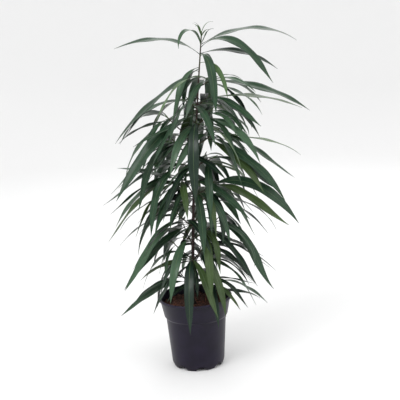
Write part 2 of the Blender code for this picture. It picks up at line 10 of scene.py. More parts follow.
import bpy
import numpy as np
from mathutils import Matrix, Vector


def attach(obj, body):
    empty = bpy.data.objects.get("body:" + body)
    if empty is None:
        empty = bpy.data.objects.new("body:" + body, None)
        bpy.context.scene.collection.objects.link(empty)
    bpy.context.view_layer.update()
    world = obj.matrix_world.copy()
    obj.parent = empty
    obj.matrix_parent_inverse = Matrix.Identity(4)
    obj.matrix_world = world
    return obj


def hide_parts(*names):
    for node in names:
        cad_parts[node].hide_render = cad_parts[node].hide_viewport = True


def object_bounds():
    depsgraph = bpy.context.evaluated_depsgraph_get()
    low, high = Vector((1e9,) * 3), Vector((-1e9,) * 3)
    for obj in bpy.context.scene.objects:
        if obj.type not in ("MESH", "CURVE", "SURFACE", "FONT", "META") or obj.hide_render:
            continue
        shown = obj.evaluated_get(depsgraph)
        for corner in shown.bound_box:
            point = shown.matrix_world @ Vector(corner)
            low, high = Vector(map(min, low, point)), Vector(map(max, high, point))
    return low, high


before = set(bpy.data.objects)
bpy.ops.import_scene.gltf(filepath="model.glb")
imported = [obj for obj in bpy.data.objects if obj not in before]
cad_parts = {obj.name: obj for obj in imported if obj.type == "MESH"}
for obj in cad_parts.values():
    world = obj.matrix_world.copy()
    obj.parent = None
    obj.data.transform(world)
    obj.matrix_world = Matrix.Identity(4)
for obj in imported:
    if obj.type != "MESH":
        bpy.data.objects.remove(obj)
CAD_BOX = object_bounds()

bl_info = {
    "name": "Alii ficus in a nursery pot",
    "version": (1, 0, 0),
    "blender": (4, 5, 0),
    "location": "View3D > Sidebar > Ficus",
    "description": "Finished pot, soil, trunk, shoots and leaves of a potted alii ficus",
    "category": "Add Mesh",
}

MM = 0.001
GAP = 0.3 * MM

# Pot: a thin moulded cone with a rolled lip, a collar, a sunk ring under it and arched feet
POT_HEIGHT = 165 * MM
LIP_RADIUS = 85 * MM
LIP_HEIGHT = 5 * MM
COLLAR_TOP_RADIUS = 81.5 * MM
COLLAR_LOW_RADIUS = 73.5 * MM
COLLAR_LOW = 121 * MM
BODY_TOP_RADIUS = 69.5 * MM
BODY_TOP = 116.5 * MM
BODY_LOW_RADIUS = 61 * MM
BODY_LOW = 10 * MM
FOOT_RADIUS = 55.5 * MM
WALL = 1.7 * MM
HUB_RADIUS = 44 * MM
RING_RISE = 11.5 * MM
FLOOR = 2 * MM
ARCHES = 8
FIRST_ARCH = -39
ARCH_HALF_WIDTH = 12 * MM
ARCH_RISE = 10.5 * MM

# Soil
SOIL_TOP = 147 * MM

# Trunk and leader share one leaning, slightly bowed line
FOOT = np.array([-6 * MM, 0.0, SOIL_TOP + GAP])
TIP = np.array([46.5 * MM, 0.0, 762 * MM])
BOW = -6 * MM
SWAY = 4 * MM
TRUNK_TOP = 640 * MM
TRUNK_RADIUS = 4.2 * MM
TIP_RADIUS = 1.3 * MM
FLARE = 3.2 * MM
FLARE_RISE = 10 * MM

# Side shoots
SHOOT_RADIUS = 1.6 * MM
SHOOT_TIP_RADIUS = 1.1 * MM
SHOOT_CURL = 6

# Points along a leader or shoot that leaves keep clear of, and steps of every curve
STEM_POINTS = 25
ARC_STEPS = 80

# Leaves: share of the length that is the greatest width, the petiole, and how deep the root
# sits in its stem; then the lance outline, its drip tip, and where the roll has come in
WIDTH_SHARE = 0.102
PETIOLE_SHARE = 0.07
PETIOLE_RADIUS = 1.0 * MM
ROOT_SINK = 2.5 * MM
LANCE_SKEW = 0.8
LANCE_POWER = 0.75
DRIP_START = 0.8
DRIP_SHARE = 0.2
DRIP_NARROWING = 0.5
ROLL_SHARE = 0.3

# Room that a leaf keeps
LEAF_CLEARANCE = 4.6 * MM
OWN_CLEARANCE = 2.6 * MM
TRUNK_CLEARANCE = 3.0 * MM
ROOT_CLEARANCE = 1.8 * MM
ROOT_SHARE = 0.15
FLOOR_CLEARANCE = 10 * MM
POT_CLEARANCE = 4 * MM
PROBE_LENGTHS = 41
PROBE_WIDTHS = 5
OWN_ROOT = 10

Shoot = namedtuple("Shoot", "height azimuth rise length")
Leaf = namedtuple("Leaf", "along azimuth rise middle tip length roll")

# Height of the foot on the trunk in mm, azimuth, rise, length in mm
SHOOTS = {
    "foliage_right_1": Shoot(645, 350, 22, 30),
    "foliage_right_2": Shoot(605, 5, 30, 22),
    "foliage_right_3": Shoot(560, 340, 38, 46),
    "foliage_right_4": Shoot(515, 345, 28, 58),
    "foliage_right_5": Shoot(470, 345, 16, 44),
    "foliage_right_6": Shoot(400, 345, 28, 46),
    "foliage_right_7": Shoot(375, 10, 30, 35),
    "foliage_right_8": Shoot(300, 345, 34, 66),
    "foliage_right_9": Shoot(252, 308, 38, 46),
    "foliage_right_10": Shoot(182, 345, 26, 48),
    "foliage_left_1": Shoot(598, 190, 45, 20),
    "foliage_left_2": Shoot(566, 195, 45, 25),
    "foliage_left_3": Shoot(527, 190, 38, 77),
    "foliage_left_4": Shoot(485, 195, 40, 60),
    "foliage_left_5": Shoot(468, 205, 10, 30),
    "foliage_left_6": Shoot(433, 200, 10, 35),
    "foliage_left_7": Shoot(375, 170, 15, 15),
    "foliage_left_8": Shoot(330, 200, 40, 40),
    "foliage_left_9": Shoot(297, 215, 20, 15),
    "foliage_left_10": Shoot(254, 200, 40, 52),
    "foliage_left_11": Shoot(192, 200, 45, 28),
    "foliage_front_1": Shoot(552, 275, 35, 25),
    "foliage_front_2": Shoot(395, 285, 35, 25),
    "foliage_front_3": Shoot(240, 265, 35, 32),
    "foliage_back_1": Shoot(590, 95, 35, 40),
    "foliage_back_2": Shoot(550, 60, 35, 50),
    "foliage_back_3": Shoot(510, 125, 32, 50),
    "foliage_back_4": Shoot(455, 55, 30, 50),
    "foliage_back_5": Shoot(405, 120, 32, 50),
    "foliage_back_6": Shoot(345, 70, 32, 50),
    "foliage_back_7": Shoot(285, 115, 35, 50),
    "foliage_back_8": Shoot(232, 60, 38, 45),
}

FOLIAGE = ["foliage_top"] + list(SHOOTS)

# Leaves placed one by one: share along the shoot, azimuth, slopes at base, middle and tip,
# length in mm, roll about the blade's own run
PLACED = {
    "foliage_top": [
        Leaf(0.60, 188, 45, 4, -18, 198, -18),
        Leaf(0.75, 228, 88, 0, -98, 115, -10),
        Leaf(0.80, 330, 40, 62, -10, 48, 0),
        Leaf(0.78, 5, 27, 1, -36, 224, 15),
        Leaf(0.72, 340, 48, -36, -55, 208, 28),
        Leaf(0.62, 0, 15, -15, -40, 180, 25),
        Leaf(0.62, 292, 10, -72, -78, 165, 10),
        Leaf(0.45, 320, 20, -52, -82, 120, 20),
        Leaf(0.38, 205, -5, -68, -60, 140, -30),
        Leaf(0.36, 185, -30, -37, -52, 250, -15),
        Leaf(0.55, 75, 25, -35, -72, 165, 10),
        Leaf(0.30, 115, 15, -50, -75, 150, -15),
    ],
    "foliage_right_1": [
        Leaf(1.0, 352, -5, -18, -38, 230, 22),
        Leaf(0.8, 330, 20, -12, -47, 122, 15),
        Leaf(0.6, 336, -12, -25, -65, 150, 0),
        Leaf(0.9, 20, 28, -3, -42, 83, 0),
    ],
    "foliage_right_2": [
        Leaf(1.0, 355, 10, -8, -24, 216, 8),
        Leaf(0.7, 330, 20, -29, -35, 154, 35),
    ],
    "foliage_right_3": [
        Leaf(1.0, 330, 15, -36, -80, 108, 20),
        Leaf(0.8, 315, 10, -24, -78, 104, 20),
        Leaf(1.0, 345, -30, -20, -100, 110, 15),
        Leaf(0.4, 320, 24, -51, -62, 130, 10),
    ],
    "foliage_right_4": [
        Leaf(1.0, 355, -20, -12, -42, 196, 0),
        Leaf(0.9, 345, -7, -33, -30, 204, 8),
        Leaf(0.7, 335, -30, -38, -62, 225, 25),
        Leaf(0.5, 330, -22, -38, -57, 182, 35),
    ],
    "foliage_right_5": [
        Leaf(0.9, 350, 15, -36, -30, 170, 30),
        Leaf(0.4, 20, -10, -22, -30, 110, 20),
    ],
    "foliage_right_6": [
        Leaf(0.8, 350, 30, -28, -57, 242, 45),
        Leaf(1.0, 335, 10, -32, -28, 207, 25),
        Leaf(0.5, 305, 10, -68, -100, 155, 10),
        Leaf(0.9, 10, -5, -40, -50, 125, -8),
    ],
    "foliage_right_7": [
        Leaf(1.0, 5, -5, -27, -69, 200, 5),
    ],
    "foliage_right_8": [
        Leaf(1.0, 330, -5, -43, -100, 154, 5),
        Leaf(0.8, 330, 19, -60, -47, 219, 30),
        Leaf(0.5, 325, -5, -48, -50, 181, 5),
        Leaf(0.6, 350, -26, -33, -45, 185, -5),
        Leaf(1.0, 20, 0, -47, -108, 102, 20),
        Leaf(0.3, 305, 50, -66, -75, 134, 15),
    ],
    "foliage_right_9": [
        Leaf(0.6, 300, -50, -74, -88, 145, 10),
        Leaf(0.8, 335, -35, -55, -54, 68, 5),
        Leaf(1.0, 314, -38, -60, -78, 166, 10),
    ],
    "foliage_right_10": [
        Leaf(0.8, 5, 20, -15, -12, 112, 0),
        Leaf(0.4, 352, -30, -5, -38, 140, 5),
        Leaf(0.8, 320, -5, -34, -52, 108, 5),
    ],
    "foliage_left_1": [
        Leaf(0.2, 235, -40, -80, -85, 60, 0),
        Leaf(1.0, 178, -35, -50, -40, 288, -15),
    ],
    "foliage_left_2": [
        Leaf(1.0, 188, -20, -46, -55, 252, -35),
    ],
    "foliage_left_3": [
        Leaf(1.0, 200, -10, -70, -62, 140, -35),
        Leaf(1.0, 165, 65, -30, -50, 130, 10),
        Leaf(0.95, 172, -30, -50, -82, 182, -20),
        Leaf(0.9, 176, -5, -20, -45, 130, -15),
        Leaf(0.0, 162, -40, -12, -40, 112, -10),
        Leaf(0.05, 172, 15, 8, -3, 120, 0),
    ],
    "foliage_left_4": [
        Leaf(0.55, 195, 10, -32, -25, 84, 0),
        Leaf(1.0, 200, -10, -62, -66, 181, -30),
    ],
    "foliage_left_5": [
        Leaf(0.2, 182, 22, -30, -27, 226, -5),
        Leaf(1.0, 205, -10, -68, -80, 190, -30),
        Leaf(0.5, 240, -40, -85, -90, 50, 0),
    ],
    "foliage_left_6": [
        Leaf(1.0, 160, 4, 8, -3, 172, -10),
        Leaf(0.3, 215, -5, -34, -63, 106, -30),
        Leaf(0.4, 230, -60, -55, -85, 119, -10),
        Leaf(0.8, 182, 0, -44, -50, 228, -10),
        Leaf(1.0, 168, -50, -30, -62, 190, 0),
    ],
    "foliage_left_7": [
        Leaf(0.8, 168, -18, -29, -50, 197, -5),
    ],
    "foliage_left_8": [
        Leaf(1.0, 186, -28, -56, -52, 218, -35),
        Leaf(0.1, 185, -20, -41, -51, 217, -35),
        Leaf(0.15, 165, 2, -43, -46, 149, -10),
    ],
    "foliage_left_9": [
        Leaf(0.8, 210, -45, -60, -62, 100, 0),
    ],
    "foliage_left_10": [
        Leaf(1.0, 212, -20, -78, -74, 95, -10),
    ],
    "foliage_left_11": [
        Leaf(1.0, 188, 0, -22, -48, 128, -15),
    ],
    "foliage_front_1": [
        Leaf(1.0, 262, 10, -75, -88, 215, 0),
    ],
    "foliage_front_2": [
        Leaf(1.0, 280, 5, -75, -85, 165, 0),
    ],
    "foliage_front_3": [
        Leaf(1.0, 264, 5, -66, -86, 195, 0),
        Leaf(0.8, 280, 35, -62, -90, 285, 0),
        Leaf(0.6, 288, -20, -80, -88, 95, 0),
        Leaf(0.9, 296, 0, -52, -38, 165, 0),
    ],
}

# Leaves that the rule adds: how many it tries on each shoot, the fan they fill, and the
# ranges of their rise, slope at the middle, droop beyond it, length in mm and roll
EXTRA_TRIES = 3
BACK_TRIES = 6
TOP_TRIES = 0
EXTRA_FAN = (25, 155)
BACK_FAN = 150
EXTRA_RISE = (0, 35)
EXTRA_MIDDLE = (-45, -20)
EXTRA_DROOP = (5, 40)
EXTRA_LENGTH = (150, 225)
EXTRA_ROLL = (-30, 30)
SEED = 11
GOLDEN = 0.618034

# Finer leaves, on the finished plant only, between those that the solids have too
FINER_TRIES = 6
FINER_ALONG = (0.15, 1)
FINER_RISE = (-10, 35)
FINER_MIDDLE = (-55, -20)
FINER_DROOP = (5, 35)
FINER_LENGTH = (120, 200)

# Turns in degrees that a leaf may make to stay clear: of its azimuth and of its slopes
TURNS = sorted(((a, s) for a in range(-20, 21, 4) for s in (-6, -3, 0, 3, 6)),
               key=lambda turn: (abs(turn[0]) + abs(turn[1]), turn))

# Fineness of the finished surfaces
POT_AROUND = 192
ARCH_AROUND = 48
FILLET_POINTS = 5
SOIL_AROUND = 144
SOIL_ROWS = 40
TRUNK_AROUND = 28
TRUNK_ROWS = 300
SHOOT_AROUND = 12
SHOOT_ROWS = 24
LEAF_ROWS = 30
LEAF_ACROSS = 9
RIB_AROUND = 8
BUD_ROWS = 10
FLOOR_AROUND = 128
FLOOR_ROWS = 24

# Finished pot: fillets, the most of an edge that a fillet takes, the lip's inner edge, the
# step at the foot, how far out the arch bars sit, and the angle from which an edge is sharp
FINE_FILLET = 0.5 * MM
SOFT_FILLET = 1.4 * MM
BODY_FILLET = 4 * MM
FILLET_SHARE = 0.45
LIP_EDGE = 0.6 * MM
FOOT_STEP = 2.4 * MM
FOOT_STEP_RISE = BODY_LOW * 0.15
SKIRT_INNER_RISE = BODY_LOW * 0.6
ARCH_SHIFT = 4 * MM
SHARP_ANGLE = 35

# Finished soil: how far it lies under the flat top on average, and the waves over it
SOIL_SINK = 2.0 * MM
SOIL_WAVES = 36
SOIL_WAVE_LENGTH = (7 * MM, 42 * MM)
SOIL_WAVE_HEIGHT = 0.42 * MM

# Crumbs and bits of bark: how many are tried, their sizes, the form of a lump, and the room
# that they leave at the rim and at the trunk
CRUMBS = 1100
CRUMB_SIZE = (0.6 * MM, 2.2 * MM)
CRUMB_STRETCH = (0.6, 1.2)
BARK_BITS = 260
BIT_SIZE = (1.4 * MM, 3.4 * MM)
BIT_SHAPE = (1.5, 0.8, 0.4)
LUMP_LEVELS = (-0.8, -0.3, 0.35, 0.8)
LUMP_GIRTHS = (0.45, 0.95, 0.9, 0.4)
LUMP_AROUND = 6
LUMP_UNEVEN = (0.7, 1.25)
LUMP_TILT = 0.15
RIM_ROOM = 3.5 * MM
TRUNK_ROOM = 9 * MM

# Dry leaf stalks that stand in the soil: place in mm, azimuth, rise, length in mm
Stalk = namedtuple("Stalk", "place azimuth rise length")
STALKS = [
    Stalk((22, -14), 60, 74, 62),
    Stalk((10, -26), 150, 66, 38),
    Stalk((34, 6), 20, 58, 30),
    Stalk((-26, -18), 215, 48, 26),
]
STALK_RADIUS = 0.9 * MM
STALK_TAPER = 0.4
STALK_SINK = 4 * MM
STALK_BENDS = (0, -8, -22)

# Bark: ridges round and along the trunk, and a swelling at the foot of each shoot
TRUNK_SINK = 1.5 * MM
RIDGES = 22
RIDGES_AROUND = (1, 8)
RIDGES_ALONG = (40, 900)
RIDGE_LEVEL = 8
KNOT_REACH = 4 * MM
KNOT_RISE = 0.7 * MM

# Finished shoots: how deep the leader starts in the trunk, and slight swellings along a shoot
LEADER_SINK = 2 * MM
SHOOT_SWELLINGS = 4
SHOOT_SWELL = 0.12

# Buds: where on its shoot one starts, lengths, and girth over that of the shoot's tip
BUD_START = 0.97
BUD_LENGTH = 14 * MM
TOP_BUD_LENGTH = 6 * MM
BUD_POINT = 0.15
BUD_GIRTH = 1.1
BUD_FROM = 0.25
BUD_POWER = 0.8

# Finished blade: how much wider it is than the one that clearances are measured with, its
# fold, the waves of its edges and how far one edge's lag behind the other's, in radians
FULLNESS = 1.12
KEEL_SHARE = 0.14
FOLD_POWER = 1.2
EDGE_WAVES = 2.6
EDGE_LAG = 1.9

# Petiole: half width at the root, how much it narrows, and depth, over its radius; then how
# much thinner a blade is at its edges than in its middle, and how much more at the root
PETIOLE_WIDTH = 0.9
PETIOLE_NARROWING = 0.65
PETIOLE_DEPTH = 1.7
EDGE_THINNING = 0.85
ROOT_THINNING = 0.1

# Midrib: share of the leaf where it ends, its half width and rise, and how much both fade
RIB_END = 0.985
RIB_HALF_WIDTH = 0.75 * MM
RIB_NARROWING = 0.75
RIB_RISE = 0.42 * MM
RIB_FADING = 0.8

# The unfolding leaves at the leader's tip
CROWN = [
    Leaf(0.97, 20, 72, 45, -20, 42, 0),
    Leaf(0.95, 140, 75, 50, 0, 36, 0),
    Leaf(0.92, 250, 65, 40, -30, 46, 0),
    Leaf(0.90, 310, 60, 30, -20, 38, 0),
    Leaf(0.98, 200, 80, 60, 20, 30, 0),
]

# Leaf colours, their odds high and low in the crown, and the heights where each set holds; the light and
# the darkest greens are lit and shaded copies of one green, painted light and painted shade
LEAF_TONES = ["young", "light", "mid", "shaded", "olive"]
HIGH_ODDS = np.array([0.05, 0.34, 0.34, 0.16, 0.06])
LOW_ODDS = np.array([0.00, 0.18, 0.34, 0.46, 0.08])
HIGH = 650 * MM
LOW = 200 * MM

# Finishes: scale of the mottling, roughness, and scale and depth of the grain
Finish = namedtuple("Finish", "mottle roughness grain depth")
FINISHES = {
    "plastic": Finish(30, 0.38, 900, 0.05 * MM),
    "soil": Finish(160, 0.95, 900, 0.6 * MM),
    "crumb": Finish(260, 0.95, 1400, 0.4 * MM),
    "bark_bit": Finish(200, 0.85, 1200, 0.4 * MM),
    "bark": Finish(180, 0.78, 1500, 0.3 * MM),
    "shoot": Finish(220, 0.6, 1500, 0.2 * MM),
    "bud": Finish(200, 0.45, 1500, 0.1 * MM),
    "leaf": Finish(55, 0.36, 1300, 0.12 * MM),
    "rib": Finish(300, 0.5, 1500, 0.05 * MM),
}
MOTTLE_DETAIL = 6
MOTTLE_FROM = 0.38
MOTTLE_TO = 0.66
GRAIN_DETAIL = 4
GRAIN_STRENGTH = 0.6

# Strength of the gloss on leaves, bark and plastic, which are all a little dusty
SHINE = 0.22
LEAF_COAT = 0.08

# The second colour of a mottling over the first, and the two of a leaf over its own
PLASTIC_MOTTLE = 1.5
RIB_MOTTLE = 0.8
LEAF_MOTTLE = (0.86, 1.12)

# Wear at the pot's lip and dust at its foot: height of the band and the most that it covers
WORN_BAND = 4 * MM
WORN_SHARE = 0.8
DUST_BAND = 30 * MM
DUST_SHARE = 0.35

# Camera: stands in front and a little above, looks down, and leans a little
CAMERA_PLACE = (0.0235, -1.9, 0.80)
CAMERA_PITCH = 12.2
CAMERA_LEAN = 3.1
LENS_MM = 77.3
SENSOR_MM = 36.0

# Studio: the flat floor's radius, the reach and rise of the wall that it sweeps into, the
# light from all round, and the lamps with the point that they face
FLOOR_MIDDLE = 0.02
FLOOR_RADIUS = 2.8
WALL_REACH = 2.0
WALL_RISE = 2.6
FLOOR_COLOUR = (0.86, 0.86, 0.86, 1)
FLOOR_ROUGHNESS = 0.9
SKY_COLOUR = (1, 1, 1, 1)
SKY_STRENGTH = 0.95
Lamp = namedtuple("Lamp", "name place size power")
LAMPS = [
    Lamp("key", (-1.3, -1.6, 2.4), 1.4, 38),
    Lamp("fill", (1.8, -1.2, 1.5), 1.8, 12),
    Lamp("back", (0.4, 2.0, 2.2), 1.6, 14),
]
LAMP_AIM = (0, 0, 0.4)

# A direction that no stem, bud or stalk runs along
ASIDE = (0.31, 0.95, 0.05)


def heading(azimuth, slope):
    """Unit directions from azimuths and slopes in degrees."""
    turn, tilt = np.radians(azimuth), np.radians(slope)
    level = np.cos(tilt)
    return np.stack([np.cos(turn) * level, np.sin(turn) * level, np.sin(tilt) + 0 * turn], -1)


def trunk_share(height):
    """Share of the way from the trunk's foot to the leader's tip at a height."""
    return np.clip((height - FOOT[2]) / (TIP[2] - FOOT[2]), 0, 1)


def trunk_point(height):
    """Points on the trunk's line: a straight lean, a bow to one side and a slight sway."""
    share = trunk_share(np.asarray(height, float))
    points = FOOT + (TIP - FOOT) * share[..., None]
    points[..., 0] += BOW * np.sin(pi * share)
    points[..., 1] += SWAY * np.sin(2 * pi * share)
    return points


def trunk_radius(height):
    """Straight taper to the tip, with a root flare that dies away above the soil. Below the
    soil's top the flare's formula grows on, so leaves that hang low beside the pot, where
    there is no trunk, are held to touch it and are left out, as they are in the solids."""
    share = trunk_share(np.asarray(height, float))
    taper = TRUNK_RADIUS + (TIP_RADIUS - TRUNK_RADIUS) * share
    return taper + FLARE * np.exp(-(height - FOOT[2]) / FLARE_RISE)


def arc(start, azimuth, slopes, length, shares):
    """Points along a curve in the upright plane of an azimuth, and its slopes: the slope
    is a parabola in the share of the length, through the three given slopes."""
    fine = np.linspace(0, 1, ARC_STEPS + 1)
    rise, middle, tip = slopes

    def slope(s):
        return rise + (4 * middle - 3 * rise - tip) * s + 2 * (rise + tip - 2 * middle) * s * s

    steps = heading(azimuth + 0 * fine[1:], slope((fine[1:] + fine[:-1]) / 2)) * length / ARC_STEPS
    line = np.vstack([np.zeros(3), np.cumsum(steps, axis=0)]) + start
    points = np.stack([np.interp(shares, fine, line[:, k]) for k in range(3)], -1)
    return points, slope(shares)


def shoot_line(name, shares):
    """Centre line of a side shoot, which starts just clear of the trunk and curls up."""
    shoot = SHOOTS[name]
    height = shoot.height * MM
    lean = sin(np.radians(shoot.rise)) * SHOOT_RADIUS
    out = trunk_radius(height) + GAP + lean
    start = trunk_point(height) + heading(shoot.azimuth, 0) * out
    slopes = (shoot.rise, shoot.rise + SHOOT_CURL, shoot.rise + 2 * SHOOT_CURL)
    return arc(start, shoot.azimuth, slopes, shoot.length * MM, shares)[0]


def stem_line(name, shares):
    """Centre line of the stem of a mass: a side shoot, or the leader above the trunk."""
    if name == "foliage_top":
        low = TRUNK_TOP + GAP
        return trunk_point(low + (TIP[2] - low) * np.asarray(shares, float))
    return shoot_line(name, shares)


def stem_length(name):
    """Length of the stem of a mass."""
    return TIP[2] - TRUNK_TOP if name == "foliage_top" else SHOOTS[name].length * MM


def leaf_width(share):
    """Half width over the greatest half width: a thin petiole, a lance shape that is
    widest before its middle, and a long drip tip."""
    blade = np.clip((share - PETIOLE_SHARE) / (1 - PETIOLE_SHARE), 0, 1)
    drip = np.clip((blade - DRIP_START) / DRIP_SHARE, 0, 1)
    return np.sin(pi * blade ** LANCE_SKEW) ** LANCE_POWER * (1 - DRIP_NARROWING * drip)


def leaf_frame(name, leaf, shares):
    """Points on the midrib, and the blade's sideways and upward directions there. The
    roll comes in along the petiole and the first part of the blade."""
    sink = ROOT_SINK / stem_length(name)
    start = stem_line(name, np.array([min(max(leaf.along, sink), 1 - sink)]))[0]
    slopes = (leaf.rise, leaf.middle, leaf.tip)
    spine, slope = arc(start, leaf.azimuth, slopes, leaf.length * MM, shares)
    run = heading(leaf.azimuth + 0 * slope, slope)
    level = heading(leaf.azimuth + 90, 0) + 0 * run
    lift = np.cross(run, level)
    ease = np.clip(shares / ROLL_SHARE, 0, 1)
    roll = np.radians(leaf.roll) * ease * ease * (3 - 2 * ease)
    side = level * np.cos(roll)[:, None] + lift * np.sin(roll)[:, None]
    up = lift * np.cos(roll)[:, None] - level * np.sin(roll)[:, None]
    return spine, side, up


def leaf_probe(name, leaf):
    """A fine grid of points over the blade, to measure clearances with."""
    shares = np.linspace(0, 1, PROBE_LENGTHS)
    spine, side, _ = leaf_frame(name, leaf, shares)
    half = leaf.length * MM * WIDTH_SHARE / 2 * leaf_width(shares)
    across = np.linspace(-1, 1, PROBE_WIDTHS)
    return spine[:, None] + side[:, None] * half[:, None, None] * across[None, :, None]


def pot_radius(height):
    """Outer radius of the pot at a height."""
    heights = [0, BODY_LOW, BODY_TOP, COLLAR_LOW, POT_HEIGHT - LIP_HEIGHT, POT_HEIGHT]
    radii = [FOOT_RADIUS, BODY_LOW_RADIUS, BODY_TOP_RADIUS, COLLAR_LOW_RADIUS, LIP_RADIUS, LIP_RADIUS]
    return np.interp(height, heights, radii)


def clear_of_frame(probe, owner):
    """True where a blade keeps off the trunk, the pot and soil, and what the pot stands on.
    Only the leaves of the leader may touch the stem's line, at their roots."""
    height = probe[..., 2]
    off = np.linalg.norm(probe[..., :2] - trunk_point(height)[..., :2], axis=-1)
    bark = trunk_radius(height)
    blade = np.linspace(0, 1, PROBE_LENGTHS) > ROOT_SHARE
    if np.any(off[blade] < bark[blade] + TRUNK_CLEARANCE) or np.any(height < FLOOR_CLEARANCE):
        return False
    if owner != "foliage_top" and np.any(off[~blade] < bark[~blade] + ROOT_CLEARANCE):
        return False
    radius = np.linalg.norm(probe[..., :2], axis=-1)
    low = height < POT_HEIGHT + POT_CLEARANCE
    outside = radius > pot_radius(height) + POT_CLEARANCE
    inside = (radius < COLLAR_TOP_RADIUS - WALL - POT_CLEARANCE) & (height > SOIL_TOP + POT_CLEARANCE)
    return bool(np.all(~low | outside | inside))


def keeps_clear(probe, owner, taken):
    """True where a blade keeps its distance to every stem and leaf placed before it. Near
    its root a leaf may come close to the others of its own shoot."""
    low, high = probe.min((0, 1)) - LEAF_CLEARANCE, probe.max((0, 1)) + LEAF_CLEARANCE
    for other, points, least, most in taken:
        if np.any(low > most) or np.any(high < least):
            continue
        if other == owner and points.ndim == 2:
            continue
        mine, theirs, clearance = probe, points, LEAF_CLEARANCE
        if other == owner:
            mine, theirs, clearance = probe[OWN_ROOT:], points[OWN_ROOT:], OWN_CLEARANCE
        mine, theirs = mine.reshape(-1, 3), theirs.reshape(-1, 3)
        theirs = theirs[np.all((theirs > low) & (theirs < high), axis=1)]
        if len(theirs) == 0:
            continue
        gap = mine[:, None] - theirs[None]
        if np.einsum("ijk,ijk->ij", gap, gap).min() < clearance ** 2:
            return False
    return True


def place(name, leaf, taken):
    """The leaf turned as little as it takes to stay clear, or None."""
    for turn, dip in TURNS:
        trial = leaf._replace(azimuth=leaf.azimuth + turn, middle=leaf.middle + dip, tip=leaf.tip + dip)
        probe = leaf_probe(name, trial)
        if clear_of_frame(probe, name) and keeps_clear(probe, name, taken):
            taken.append((name, probe, probe.min((0, 1)), probe.max((0, 1))))
            return trial
    return None


def extra_leaves(name, count, rng):
    """Leaves by the rule: golden steps through a fan of azimuths, from the tip down."""
    start = rng.random()
    for k in range(count):
        step = (start + k * GOLDEN) % 1.0
        if name.startswith("foliage_back"):
            azimuth = SHOOTS[name].azimuth + BACK_FAN * (step - 0.5)
        else:
            azimuth = EXTRA_FAN[0] + (EXTRA_FAN[1] - EXTRA_FAN[0]) * step
        rise = rng.uniform(*EXTRA_RISE)
        middle = rng.uniform(*EXTRA_MIDDLE)
        tip = middle - rng.uniform(*EXTRA_DROOP)
        yield Leaf(along=1 - k / (count + 1), azimuth=azimuth, rise=rise, middle=middle, tip=tip,
                   length=rng.uniform(*EXTRA_LENGTH), roll=rng.uniform(*EXTRA_ROLL))


def finer_leaves(rng):
    """More leaves by the same rule, shorter and all round the shoot, for the inner crown."""
    start = rng.random()
    for k in range(FINER_TRIES):
        azimuth = 360 * ((start + k * GOLDEN) % 1.0)
        middle = rng.uniform(*FINER_MIDDLE)
        along = rng.uniform(*FINER_ALONG)
        rise = rng.uniform(*FINER_RISE)
        tip = middle - rng.uniform(*FINER_DROOP)
        yield Leaf(along=along, azimuth=azimuth, rise=rise, middle=middle, tip=tip,
                   length=rng.uniform(*FINER_LENGTH), roll=rng.uniform(*EXTRA_ROLL))


def stays_in_box(probe):
    """True where a blade stays inside the box of the solids."""
    low, high = (np.array([float(part) for part in corner]) for corner in CAD_BOX)
    return bool(np.all(probe >= low) and np.all(probe <= high))


def tries(name):
    """How many leaves the rule tries on the stem of a mass."""
    if name == "foliage_top":
        return TOP_TRIES
    return BACK_TRIES if name.startswith("foliage_back") else EXTRA_TRIES


def grow():
    """Every mass with its leaves: the placed ones first, then those of the rule, and last
    the finer ones."""
    taken = []
    for name in FOLIAGE:
        line = stem_line(name, np.linspace(0, 1, STEM_POINTS))
        taken.append((name, line, line.min(0), line.max(0)))
    masses = {name: [] for name in FOLIAGE}
    for name in FOLIAGE:
        for leaf in PLACED.get(name, []):
            masses[name].append(place(name, leaf, taken))
    rng = np.random.default_rng(SEED)
    for name in FOLIAGE:
        for leaf in extra_leaves(name, tries(name), rng):
            masses[name].append(place(name, leaf, taken))
    for name in SHOOTS:
        for leaf in finer_leaves(rng):
            placed = place(name, leaf, taken)
            if placed and stays_in_box(leaf_probe(name, placed)):
                masses[name].append(placed)
    return {name: [leaf for leaf in leaves if leaf] for name, leaves in masses.items()}


def pot_inner_profile(inset):
    """The pot's inner side from the hub's floor up to the lip, moved in by an inset."""
    wall = WALL + inset
    return [
        (0, FLOOR + inset),
        (HUB_RADIUS - wall, FLOOR + inset),
        (HUB_RADIUS - wall, RING_RISE + wall),
        (BODY_LOW_RADIUS - wall, RING_RISE + wall),
        (BODY_TOP_RADIUS - wall, BODY_TOP),
        (COLLAR_LOW_RADIUS - wall, COLLAR_LOW + inset),
        (COLLAR_TOP_RADIUS - wall, POT_HEIGHT - LIP_HEIGHT),
    ]


def tone(red, green, blue):
    """A linear colour, by the sRGB curve, from red, green and blue steps of 0 to 255."""
    share = np.array([red, green, blue]) / 255
    linear = np.where(share <= 0.04045, share / 12.92, ((share + 0.055) / 1.055) ** 2.4)
    return tuple(float(part) for part in linear)


def skins(rings):
    """Points and faces of many closed tubes of one fineness: each ring is joined to the next
    by a band of quads, and the first and last rings are closed by a cap."""
    many, count, around = rings.shape[:3]
    index = np.arange(count * around).reshape(count, around)
    low, high = index[:-1], index[1:]
    quads = np.stack([low, np.roll(low, -1, 1), np.roll(high, -1, 1), high], -1).reshape(-1, 4)
    starts = np.arange(many)[:, None, None] * count * around
    sides = (quads + starts).reshape(-1, 4).tolist()
    caps = (np.stack([index[0, ::-1], index[-1]]) + starts).reshape(-1, around).tolist()
    return rings.reshape(-1, 3), sides + caps


def piece(name, points, faces, material, slot, nodes=()):
    """A smooth mesh at the origin that rides with the plant and stands for some nodes."""
    mesh = bpy.data.meshes.new(name)
    mesh.from_pydata(points.tolist(), [], faces)
    mesh.validate()
    mesh.shade_smooth()
    mesh.materials.append(material)
    obj = bpy.data.objects.new(name, mesh)
    bpy.context.scene.collection.objects.link(obj)
    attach(obj, "root")
    if nodes:
        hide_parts(*nodes)
    return obj


